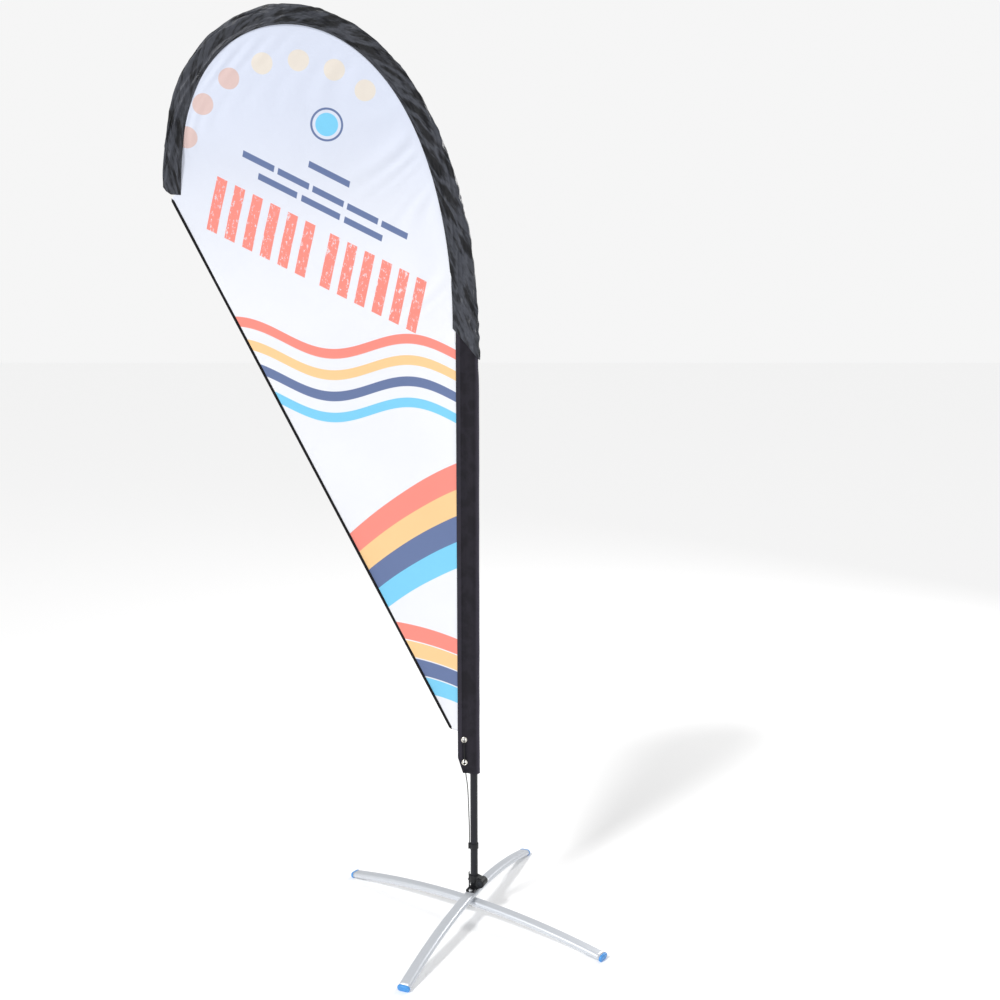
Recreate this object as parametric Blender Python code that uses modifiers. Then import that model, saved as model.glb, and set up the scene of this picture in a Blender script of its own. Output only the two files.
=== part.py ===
"""Teardrop flag on a folding cross base, as separate solids in metres, +Z up.

The base is two bowed flat-oval tubes crossed on one pivot bolt. A folding bracket behind
the bolt carries a swivel housing with a ball bearing and a spigot. The pole stands on the
spigot: a straight aluminium tube, then a tapered fibreglass rod that the flag bends over.
The flag hangs in the XZ plane, its pointed corner low at the pole and its arch towards -X.
"""
from math import atan, atan2, cos, degrees, hypot, pi, radians, sin, sqrt

import bmesh
import bpy
import numpy as np
from mathutils import Matrix, Vector

MM = 0.001
GAP = 0.3 * MM                      # between pieces that touch
BOLT_CLEARANCE = 0.3 * MM           # radial, shank to hole

# ---- cross base
LEG_SPAN = 800 * MM                 # tip to tip, over the end caps
LEG_WIDTH = 30 * MM
LEG_DEPTH = 15 * MM
LEG_WALL = 1.2 * MM
LOWER_LEG_ANGLE = radians(-34.9)    # plan angle of each leg from +X
UPPER_LEG_ANGLE = radians(68.2)
LOWER_LEG_RISE = 34.5 * MM          # underside of the lower leg at the pivot
LEG_END_LIFT = 1.3 * MM             # underside of a tube's end above the ground
SPACER_THICKNESS = 1.5 * MM
SPACER_RADIUS = 12 * MM
CAP_HEAD = 6 * MM
CAP_LIP = 1.0 * MM                  # how far the cap's head stands out over the tube
CAP_STUB = 16 * MM
LEG_STEPS = 16

# ---- pivot bolt
BOLT_RADIUS = 3.0 * MM
BOLT_HEAD_RADIUS = 6.3 * MM
BOLT_HEAD_HEIGHT = 3.8 * MM
WASHER_RADIUS = 9 * MM
WASHER_THICKNESS = 1.2 * MM
NUT_HEIGHT = 5.0 * MM
NUT_FLATS = 10 * MM

# ---- folding bracket: u across the upper leg, v along it, z up, from the pole's axis
POLE_SETBACK = 23 * MM              # pole axis behind the pivot, along the upper leg
PLATE_HALF_WIDTH = 12 * MM
PLATE_HALF_LENGTH = 14 * MM
PLATE_THICKNESS = 3.3 * MM
TONGUE_THICKNESS = 2.5 * MM
TONGUE_HALF_WIDTH = 6.9 * MM
FORK_INNER = 7.2 * MM
FORK_OUTER = 11.4 * MM
FORK_HEIGHT = 5.7 * MM
FORK_REACH = 5.5 * MM               # fork arms past the pivot bolt's axis
REAR_FOOT_LENGTH = 15 * MM
REAR_FOOT_HALF_WIDTH = 8 * MM
REAR_FOOT_THICKNESS = 2.9 * MM
RIVET_RADIUS = 2.2 * MM
RIVET_HEAD_RADIUS = 4.4 * MM
RIVET_TAIL_RADIUS = 3.52 * MM
CHEEK_THICKNESS = 4.2 * MM
EAR_HALF_THICKNESS = 9.0 * MM
TILT_STANDOFF = 8.4 * MM            # hinge pin's axis outside the housing's side
TILT_HEIGHT = 19.1 * MM             # hinge pin's axis above the bracket's underside
KNUCKLE_RADIUS = 11.5 * MM
PIN_RADIUS = 3.0 * MM
PIN_HEAD_RADIUS = 5.6 * MM
PIN_HEAD_HEIGHT = 1.8 * MM

# ---- swivel housing
HOUSING_LIFT = 6.2 * MM             # housing's underside above the bracket's underside
HOUSING_HEIGHT = 30 * MM
HOUSING_WALL = 2.2 * MM             # round the pole's mouth
HOUSING_EDGE = 0.6 * MM             # chamfer round the mouth
HOUSING_FOOT_RADIUS = 9.0 * MM
HOUSING_CONE = 15 * MM
HOUSING_FLOOR = 3.0 * MM
DRAIN_RADIUS = 2.5 * MM
NUT_POCKET_RADIUS = 7.6 * MM
NUT_POCKET_HEIGHT = 7.0 * MM
SOCKET_CLEARANCE = 0.9 * MM         # radial, pole to the housing's mouth

# ---- ball bearing
BEARING_RADIUS = 9.5 * MM
BEARING_BORE_RADIUS = 4.0 * MM
BEARING_WIDTH = 6.0 * MM
BALL_RADIUS = 1.55 * MM
BALL_COUNT = 8
TRACK_CLEARANCE = 0.15 * MM
RACE_SHOULDER = 0.7 * MM            # half the open space between the two races

# ---- spigot
SPIGOT_RADIUS = 6.3 * MM
SPIGOT_LENGTH = 150 * MM
SPIGOT_POINT = 6 * MM               # length of its tapered tip
FLANGE_RADIUS = 9.0 * MM
FLANGE_THICKNESS = 2.5 * MM
SHOULDER_RADIUS = 5.5 * MM
SHOULDER_HEIGHT = 0.6 * MM
THREAD_RADIUS = 3.0 * MM
SPIGOT_NUT_HEIGHT = 4.5 * MM

# ---- latch
LATCH_HALF_WIDTH = 2.6 * MM
LATCH_THICKNESS = 1.5 * MM
LATCH_GAP = 0.7 * MM                # latch's inner face to the housing's side
LATCH_PIN_HEIGHT = 24.1 * MM        # above the bracket's underside
LATCH_PIN_RADIUS = 0.9 * MM
LATCH_BOSS_RADIUS = 1.9 * MM
LATCH_TOP = 41.5 * MM
LATCH_NOSE = 1.1 * MM
CATCH_HEIGHT = 1.6 * MM
CATCH_HALF_WIDTH = 3.6 * MM
LUG_INNER = 4.6 * MM
LUG_THICKNESS = 1.6 * MM
RECESS_DEPTH = 1.2 * MM             # flat behind the latch, into the housing's side
SPRING_WIRE_RADIUS = 0.22 * MM
SPRING_TURNS = 2.5

# ---- pole
POLE_RADIUS = 9.5 * MM
POLE_WALL = 1.2 * MM
BUSH_LENGTH = 25 * MM
BUSH_FLANGE = 1.5 * MM
BUSH_CLEARANCE = 0.4 * MM
ROD_RADIUS_LOW = 6.0 * MM
ROD_RADIUS_TIP = 3.0 * MM
ROD_SEAT = 60 * MM                  # rod inside the ferrule below the joint
FERRULE_BELOW = 80 * MM
FERRULE_ABOVE = 42 * MM
FERRULE_COLLAR = 5 * MM
FERRULE_NECK_RADIUS = 8.6 * MM
JOINT_BELOW_BEND = 50 * MM
TIP_CAP_RADIUS = 5.0 * MM
TIP_CAP_LENGTH = 18 * MM
TIP_CAP_SEAT = 12 * MM
TIP_CAP_DOME = 3 * MM
TIP_CAP_CLEARANCE = 0.45 * MM

# ---- bend of the upper pole, which the flag's arch follows
BEND_HEIGHT = 1488 * MM             # above the ground, where the bend begins
BEND_LENGTH = 1540 * MM             # along the pole, to the end of the sleeve
BEND_TURN = radians(177.5)
BEND_RISE = 4.36                    # curvature grows as u**rise * (1-u)**fall + base
BEND_FALL = 1.98
BEND_BASE = 0.223
BEND_STEPS = 34
POLE_TIP_SHORT = 30 * MM            # rod's tip before the end of the sleeve

# ---- sleeves
SLEEVE_WALL = 0.8 * MM
SLEEVE_SEAM_HALF = 1.6 * MM         # half thickness at the inner seam
SLEEVE_POLE_SLACK = 0.8 * MM
SLEEVE_OUT_LOW = 16 * MM            # outer edge from the pole's centre
SLEEVE_OUT_TIP = 8 * MM
SLEEVE_WIDTH_LOW = 64 * MM
SLEEVE_WIDTH_TIP = 43 * MM
SLEEVE_TAPER = 2.5
SLEEVE_HALF_LOW = 11.2 * MM         # half thickness over the pole
SLEEVE_HALF_TIP = 8.0 * MM
SLEEVE_TUNNEL = 26 * MM             # from the pole's centre to where the layers lie flat
SLEEVE_JOIN_HEIGHT = 1476 * MM
LOWER_SLEEVE_FOOT = 381 * MM
LOWER_SLEEVE_INNER = POLE_RADIUS + 31.5 * MM    # inner and outer edges from the pole's centre
LOWER_SLEEVE_OUTER = POLE_RADIUS + 6 * MM
LOWER_SLEEVE_TUNNEL = POLE_RADIUS + 10.5 * MM
CHAMFER_WIDTH = 13 * MM
CHAMFER_HEIGHT = 42 * MM
SECTION_STEPS = 16
POCKET_RADIUS = 5.4 * MM
POCKET_WALL = 0.9 * MM
POCKET_LENGTH = 45 * MM
POCKET_SPARE = 4 * MM               # from the tip cap's end to the pocket's floor

# ---- panel
PANEL_THICKNESS = 1.2 * MM
PANEL_CORNER_OFFSET = (-22.2 * MM, -17.2 * MM)    # far corner from the sleeve's inner end
PANEL_POINT = (-55 * MM, 498 * MM)       # low corner
PANEL_FOOT = 491.5 * MM                  # where the low edge meets the lower sleeve
BINDING_WIDTH = 5 * MM
BINDING_THICKNESS = 2.0 * MM

# ---- eyelets and tension cord
EYELET_PLACES = (                   # clear of the slope over the pole
    (-1.5 * POLE_RADIUS - 10.25 * MM, 470.5 * MM), (-1.5 * POLE_RADIUS - 9.35 * MM, 410 * MM),
)
EYELET_BORE = 4.5 * MM
EYELET_BARREL = 5.2 * MM
EYELET_FLANGE = 7.9 * MM
EYELET_FACE = 3.0 * MM              # underside of a flange from the sleeve's middle
EYELET_THICKNESS = 0.8 * MM
CORD_RADIUS = 1.25 * MM
CORD_STEPS = 46
CORD_ROUTE = (                      # from the pole's axis and the ground, in millimetres
    (-24.5, 6.3, 480.0), (-24.5, 6.0, 476.7), (-24.5, 4.8, 473.4), (-24.5, 2.6, 471.4),
    (-24.5, 0.0, 470.5), (-24.5, -2.6, 469.6), (-24.5, -4.8, 467.6), (-24.4, -6.0, 464.3),
    (-24.3, -6.2, 459.0), (-24.1, -6.0, 440.0), (-23.8, -6.2, 421.0), (-23.7, -6.0, 416.2),
    (-23.6, -4.8, 412.9), (-23.6, -2.6, 410.9), (-23.6, 0.0, 410.0), (-23.6, 2.6, 409.1),
    (-23.6, 4.8, 407.1), (-23.5, 6.0, 403.8), (-23.2, 6.2, 398.0), (-22.2, 6.0, 386.0),
    (-20.2, 4.8, 371.0), (-17.6, 3.4, 352.0), (-15.6, 2.2, 329.0), (-14.2, 1.2, 296.0),
    (-13.1, 0.6, 262.0), (-12.3, 0.2, 236.0), (-12.1, 0.0, 214.0), (-12.1, 0.0, 190.4),
)
CLIP_HEIGHT = 176 * MM
CLIP_LENGTH = 14 * MM
CLIP_WALL = 1.6 * MM
CLIP_LUG_REACH = 15.2 * MM
CLIP_LUG_HALF = 3.4 * MM

LEG_HALF = LEG_SPAN / 2
HOUSING_RADIUS = POLE_RADIUS + SOCKET_CLEARANCE + HOUSING_WALL
TILT_OFFSET = HOUSING_RADIUS + TILT_STANDOFF
LATCH_STANDOFF = HOUSING_RADIUS + LATCH_GAP
BRACKET_Z = LOWER_LEG_RISE + 2 * LEG_DEPTH + SPACER_THICKNESS + 3 * GAP
HOUSING_Z = BRACKET_Z + HOUSING_LIFT
BEARING_Z = HOUSING_Z + HOUSING_FLOOR + NUT_POCKET_HEIGHT + GAP
FLANGE_Z = BEARING_Z + BEARING_WIDTH + GAP + SHOULDER_HEIGHT
POLE_Z = FLANGE_Z + FLANGE_THICKNESS + GAP
JOINT_Z = BEND_HEIGHT - JOINT_BELOW_BEND


# ---- scene, materials and collections

def clear_scene() -> None:
    for obj in list(bpy.data.objects):
        bpy.data.objects.remove(obj, do_unlink=True)


def new_collection(name: str) -> bpy.types.Collection:
    collection = bpy.data.collections.new(name)
    bpy.context.scene.collection.children.link(collection)
    return collection


def finish(name: str, color: tuple, roughness: float, metallic: float = 0.0):
    """A Principled material."""
    mat = bpy.data.materials.new(name)
    mat.use_nodes = True
    shader = mat.node_tree.nodes["Principled BSDF"]
    shader.inputs["Base Color"].default_value = (*color, 1.0)
    shader.inputs["Roughness"].default_value = roughness
    shader.inputs["Metallic"].default_value = metallic
    return mat


def empty(name: str, parent=None, location=(0, 0, 0), turn: float = 0.0):
    """A frame that pieces are placed in."""
    obj = bpy.data.objects.new(name, None)
    obj.location = location
    obj.rotation_euler[2] = turn
    obj.parent = parent
    parts.objects.link(obj)
    return obj


def place(obj, parent, offset=(0, 0, 0)):
    """Put an object in a frame, so that its mesh is read from the frame's base point."""
    obj.parent = parent
    obj.location = Vector(obj.location) - Vector(offset)
    return obj


def as_cutter(obj):
    """Make an object an operand that isn't a part."""
    for collection in list(obj.users_collection):
        collection.objects.unlink(obj)
    cutters.objects.link(obj)
    obj.hide_render = True
    obj.display_type = "WIRE"
    return obj


def new_object(name: str, mesh, mat=None):
    obj = bpy.data.objects.new(name, mesh)
    parts.objects.link(obj)
    if mat is not None:
        mesh.materials.append(mat)
    return obj


def combine(obj, operation: str, *others) -> None:
    """Boolean modifiers on one piece, in order."""
    for other in others:
        as_cutter(other)
        modifier = obj.modifiers.new(other.name, "BOOLEAN")
        modifier.operation = operation
        modifier.solver = "EXACT"
        modifier.object = other


def smooth(mesh) -> None:
    mesh.shade_smooth()
    mesh.set_sharp_from_angle(angle=radians(35))


# ---- shapes

def block(name: str, low: tuple, high: tuple, mat=None):
    """A box between two corners."""
    mesh = bpy.data.meshes.new(name)
    bm = bmesh.new()
    bmesh.ops.create_cube(bm, size=1.0)
    size = Vector(high) - Vector(low)
    middle = (Vector(high) + Vector(low)) / 2
    bmesh.ops.transform(bm, matrix=Matrix.Translation(middle) @ Matrix.Diagonal((*size, 1)), verts=bm.verts)
    bm.to_mesh(mesh)
    bm.free()
    return new_object(name, mesh, mat)


def rod(name: str, radius: float, start: tuple, end: tuple, mat=None, segments: int = 24):
    """A cylinder from one point to another."""
    mesh = bpy.data.meshes.new(name)
    axis = Vector(end) - Vector(start)
    turn = axis.to_track_quat("Z", "Y").to_matrix().to_4x4()
    bm = bmesh.new()
    bmesh.ops.create_cone(bm, cap_ends=True, segments=segments, radius1=radius, radius2=radius,
                          depth=axis.length)
    middle = (Vector(start) + Vector(end)) / 2
    bmesh.ops.transform(bm, matrix=Matrix.Translation(middle) @ turn, verts=bm.verts)
    bm.to_mesh(mesh)
    bm.free()
    smooth(mesh)
    return new_object(name, mesh, mat)


def turned(name: str, profile: list, mat=None, segments: int = 24, closed: bool = True):
    """A profile of (radius, height) points turned about Z, down its outer side first.

    An open profile starts and ends on the axis.
    """
    mesh = bpy.data.meshes.new(name)
    edges = [(i, i + 1) for i in range(len(profile) - 1)]
    if closed:
        edges.append((len(profile) - 1, 0))
    mesh.from_pydata([(r, 0, z) for r, z in profile], edges, [])
    obj = new_object(name, mesh, mat)
    screw = obj.modifiers.new("turn", "SCREW")
    screw.steps = screw.render_steps = segments
    screw.angle = 2 * pi
    screw.use_merge_vertices = True
    screw.merge_threshold = 0.00001
    screw.use_smooth_shade = True
    return obj


def flat_shape(name: str, outline: list, low: float, high: float, plane: str, mat=None):
    """A 2D outline filled and extruded: plane XZ runs along Y, plane XY runs along Z."""
    curve = bpy.data.curves.new(name + "_outline", "CURVE")
    curve.dimensions = "2D"
    curve.fill_mode = "BOTH"
    curve.extrude = (high - low) / 2
    spline = curve.splines.new("POLY")
    spline.points.add(len(outline) - 1)
    for point, (a, b) in zip(spline.points, outline):
        point.co = (a, b, 0, 1)
    spline.use_cyclic_u = True
    guide = bpy.data.objects.new(name + "_outline", curve)
    bpy.context.scene.collection.objects.link(guide)
    bpy.context.view_layer.update()
    mesh = bpy.data.meshes.new_from_object(guide.evaluated_get(bpy.context.evaluated_depsgraph_get()))
    bpy.data.objects.remove(guide, do_unlink=True)
    middle = (low + high) / 2
    if plane == "XZ":
        turn = Matrix.Translation((0, middle, 0)) @ Matrix.Rotation(pi / 2, 4, "X")
    else:
        turn = Matrix.Translation((0, 0, middle))
    bm = bmesh.new()
    bm.from_mesh(mesh)
    bmesh.ops.remove_doubles(bm, verts=bm.verts, dist=0.00001)
    bmesh.ops.transform(bm, matrix=turn, verts=bm.verts)
    bm.to_mesh(mesh)
    bm.free()
    mesh.name = name
    return new_object(name, mesh, mat)


def wire(name: str, points: list, radius: float, mat=None, radii: list = None):
    """A round wire or rod through points, each with its own share of the radius."""
    curve = bpy.data.curves.new(name, "CURVE")
    curve.dimensions = "3D"
    curve.bevel_depth = radius
    curve.bevel_resolution = 2
    curve.use_fill_caps = True
    spline = curve.splines.new("POLY")
    spline.points.add(len(points) - 1)
    for i, (point, co) in enumerate(zip(spline.points, points)):
        point.co = (*co, 1)
        point.radius = radii[i] / radius if radii else 1.0
    obj = bpy.data.objects.new(name, curve)
    parts.objects.link(obj)
    if mat is not None:
        curve.materials.append(mat)
    return obj


def double_wall(name: str, outer: np.ndarray, inner: np.ndarray, mat=None):
    """A hollow tube lofted between changing sections, open at both ends."""
    rings, count = outer.shape[:2]
    verts = np.concatenate([outer.reshape(-1, 3), inner.reshape(-1, 3)])
    base = rings * count
    faces = []
    for j in range(count):
        k = (j + 1) % count
        for i in range(rings - 1):
            a, b = i * count, (i + 1) * count
            faces.append((a + j, a + k, b + k, b + j))
            faces.append((base + a + k, base + a + j, base + b + j, base + b + k))
        last = (rings - 1) * count
        faces.append((j, base + j, base + k, k))
        faces.append((last + k, base + last + k, base + last + j, last + j))
    mesh = bpy.data.meshes.new(name)
    mesh.from_pydata([tuple(v) for v in verts], [], faces)
    bm = bmesh.new()
    bm.from_mesh(mesh)
    bmesh.ops.recalc_face_normals(bm, faces=bm.faces)
    bm.to_mesh(mesh)
    bm.free()
    smooth(mesh)
    return new_object(name, mesh, mat)


def stadium(width: float, depth: float, steps: int = 5) -> list:
    """A flat oval's outline: two half circles joined by straight sides."""
    radius = depth / 2
    reach = width / 2 - radius
    outline = []
    for side, start in ((1, -pi / 2), (-1, pi / 2)):
        for i in range(steps + 1):
            angle = start + pi * i / steps
            outline.append((side * reach + radius * cos(angle), radius * sin(angle)))
    return outline


def hexagon(flats: float) -> list:
    radius = flats / sqrt(3)
    return [(radius * cos(pi * i / 3), radius * sin(pi * i / 3)) for i in range(6)]


def disc(centre: tuple, radius: float, start: float, end: float, steps: int) -> list:
    """Points of an arc, angles in degrees."""
    angles = np.radians(np.linspace(start, end, steps))
    return [(centre[0] + radius * cos(a), centre[1] + radius * sin(a)) for a in angles]


def through(points: tuple, count: int) -> list:
    """Evenly spaced points on a smooth curve through the given ones."""
    p = np.array(points, dtype=float)
    p = np.vstack([2 * p[0] - p[1], p, 2 * p[-1] - p[-2]])
    fine = []
    for i in range(1, len(p) - 2):
        for t in np.linspace(0, 1, 24, endpoint=False):
            a, b, c, d = p[i - 1:i + 3]
            fine.append(0.5 * (2 * b + (c - a) * t + (2 * a - 5 * b + 4 * c - d) * t * t
                               + (3 * b - a - 3 * c + d) * t ** 3))
    fine.append(p[-2])
    fine = np.array(fine)
    run = np.concatenate([[0], np.cumsum(np.linalg.norm(np.diff(fine, axis=0), axis=1))])
    even = np.linspace(0, run[-1], count)
    return [tuple(np.interp(s, run, fine[:, k]) for k in range(3)) for s in even]


# ---- cross base

def leg_bottom(rise: float, reach: float, tube_half: float) -> float:
    """Height of a leg's underside at a distance from the pivot."""
    return LEG_END_LIFT + (rise - LEG_END_LIFT) * (1 - (reach / tube_half) ** 2)


def leg_tube(name: str, rise: float, frame) -> tuple:
    """A bowed flat-oval tube along its frame's X, and its half length and end slope."""
    slope = atan(2 * (rise - LEG_END_LIFT) / LEG_HALF)
    tube_half = LEG_HALF - CAP_HEAD * cos(slope) - GAP
    section = bpy.data.curves.new(name + "_section", "CURVE")
    section.dimensions = "2D"
    outline = stadium(LEG_WIDTH, LEG_DEPTH)
    spline = section.splines.new("POLY")
    spline.points.add(len(outline) - 1)
    for point, (a, b) in zip(spline.points, outline):
        point.co = (a, b, 0, 1)
    spline.use_cyclic_u = True
    section_object = bpy.data.objects.new(name + "_section", section)
    path = bpy.data.curves.new(name + "_path", "CURVE")
    path.dimensions = "3D"
    path.twist_mode = "Z_UP"
    path.bevel_mode = "OBJECT"
    path.bevel_object = section_object
    line = path.splines.new("POLY")
    line.points.add(LEG_STEPS)
    for i, point in enumerate(line.points):
        reach = tube_half * (2 * i / LEG_STEPS - 1)
        point.co = (reach, 0, leg_bottom(rise, reach, tube_half) + LEG_DEPTH / 2, 1)
    guide = bpy.data.objects.new(name + "_path", path)
    for obj in (section_object, guide):
        bpy.context.scene.collection.objects.link(obj)
    bpy.context.view_layer.update()
    mesh = bpy.data.meshes.new_from_object(guide.evaluated_get(bpy.context.evaluated_depsgraph_get()))
    for obj in (guide, section_object):
        bpy.data.objects.remove(obj, do_unlink=True)
    bm = bmesh.new()
    bm.from_mesh(mesh)
    bmesh.ops.remove_doubles(bm, verts=bm.verts, dist=0.00001)
    bmesh.ops.recalc_face_normals(bm, faces=bm.faces)
    middle = Vector((0, 0, rise + LEG_DEPTH / 2))
    nearest = min(bm.faces, key=lambda f: (f.calc_center_median() - middle).length)
    if nearest.normal.dot(nearest.calc_center_median() - middle) < 0:
        bmesh.ops.reverse_faces(bm, faces=bm.faces)
    bm.to_mesh(mesh)
    bm.free()
    smooth(mesh)
    mesh.name = name
    obj = new_object(name, mesh, leg_metal)
    wall = obj.modifiers.new("wall", "SOLIDIFY")
    wall.thickness = LEG_WALL
    wall.offset = -1
    wall.use_even_offset = True
    place(obj, frame)
    return obj, tube_half, slope


def end_cap(name: str, frame, side: int, rise: float, tube_half: float, slope: float) -> None:
    """A plastic plug in a leg's end, cut flat where it stands on the ground."""
    head = flat_shape(name, stadium(LEG_WIDTH + 2 * CAP_LIP, LEG_DEPTH + 2 * CAP_LIP), 0, CAP_HEAD,
                      "XY", cap_plastic)
    inside = 2 * (LEG_WALL + GAP)
    stub = flat_shape(name + "_stub", stadium(LEG_WIDTH - inside, LEG_DEPTH - inside), -CAP_STUB,
                      0.5 * CAP_HEAD, "XY")
    end_point = Vector((side * (tube_half + GAP * cos(slope)), 0,
                        leg_bottom(rise, tube_half, tube_half) + LEG_DEPTH / 2 * cos(slope)))
    outward = Vector((side * cos(slope), 0, -sin(slope)))
    across = Vector((0, side, 0))
    turn = Matrix((across, outward.cross(across), outward)).transposed().to_4x4()
    for obj in (head, stub):
        obj.matrix_local = Matrix.Translation(end_point) @ turn
        obj.parent = frame
    ground = block(name + "_ground", (-LEG_SPAN, -LEG_SPAN, -LEG_SPAN), (LEG_SPAN, LEG_SPAN, 0))
    place(ground, frame)
    combine(head, "UNION", stub)
    combine(head, "DIFFERENCE", ground)


def cross_base() -> None:
    upper_rise = LOWER_LEG_RISE + LEG_DEPTH + SPACER_THICKNESS + 2 * GAP
    tongue_top = BRACKET_Z + TONGUE_THICKNESS
    for name, rise, frame, ends in (
            ("lower_leg", LOWER_LEG_RISE, lower_frame, ("end_cap_left", "end_cap_right")),
            ("upper_leg", upper_rise, upper_frame, ("end_cap_front", "end_cap_back"))):
        leg, tube_half, slope = leg_tube(name, rise, frame)
        hole = rod(name + "_pivot_hole", BOLT_RADIUS + BOLT_CLEARANCE,
                   (0, 0, rise - LEG_DEPTH), (0, 0, rise + 2 * LEG_DEPTH))
        combine(leg, "DIFFERENCE", place(hole, frame))
        if name == "upper_leg":
            rivet_at = POLE_SETBACK + rear_foot_middle()
            hole = rod("upper_leg_rivet_hole", RIVET_RADIUS + BOLT_CLEARANCE,
                       (rivet_at, 0, rise + LEG_DEPTH / 2), (rivet_at, 0, rise + 2 * LEG_DEPTH))
            combine(leg, "DIFFERENCE", place(hole, frame))
        for side, cap_name in zip((-1, 1), ends):
            end_cap(cap_name, frame, side, rise, tube_half, slope)

    top = tongue_top + GAP
    bottom = LOWER_LEG_RISE - 2 * GAP - WASHER_THICKNESS - NUT_HEIGHT - 2 * MM
    dome = [(BOLT_HEAD_RADIUS * sin(a), top + 0.8 * MM + (BOLT_HEAD_HEIGHT - 0.8 * MM) * cos(a))
            for a in np.linspace(0, pi / 2, 7)]
    turned("pivot_bolt", dome + [(BOLT_HEAD_RADIUS, top), (BOLT_RADIUS, top), (BOLT_RADIUS, bottom),
                                 (0, bottom)], chrome, closed=False).parent = root
    spacer_low = LOWER_LEG_RISE + LEG_DEPTH + GAP
    ring("leg_spacer", SPACER_RADIUS, BOLT_RADIUS + BOLT_CLEARANCE, spacer_low,
         spacer_low + SPACER_THICKNESS, nylon).parent = root
    washer_top = LOWER_LEG_RISE - GAP
    ring("pivot_washer", WASHER_RADIUS, BOLT_RADIUS + BOLT_CLEARANCE, washer_top - WASHER_THICKNESS,
         washer_top, zinc).parent = root
    nut_top = washer_top - WASHER_THICKNESS - GAP
    hex_nut("pivot_nut", NUT_FLATS, BOLT_RADIUS, nut_top - NUT_HEIGHT, nut_top, zinc).parent = root


def ring(name: str, outer: float, inner: float, low: float, high: float, mat=None, segments: int = 24):
    return turned(name, [(outer, high), (outer, low), (inner, low), (inner, high)], mat, segments)


def hex_nut(name: str, flats: float, shank: float, low: float, high: float, mat):
    nut = flat_shape(name, hexagon(flats), low, high, "XY", mat)
    bore = rod(name + "_bore", shank + BOLT_CLEARANCE, (0, 0, low - 1 * MM), (0, 0, high + 1 * MM))
    combine(nut, "DIFFERENCE", bore)
    bore.parent = nut
    return nut


# ---- folding bracket

def rear_foot_middle() -> float:
    return PLATE_HALF_LENGTH + REAR_FOOT_LENGTH / 2


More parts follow.
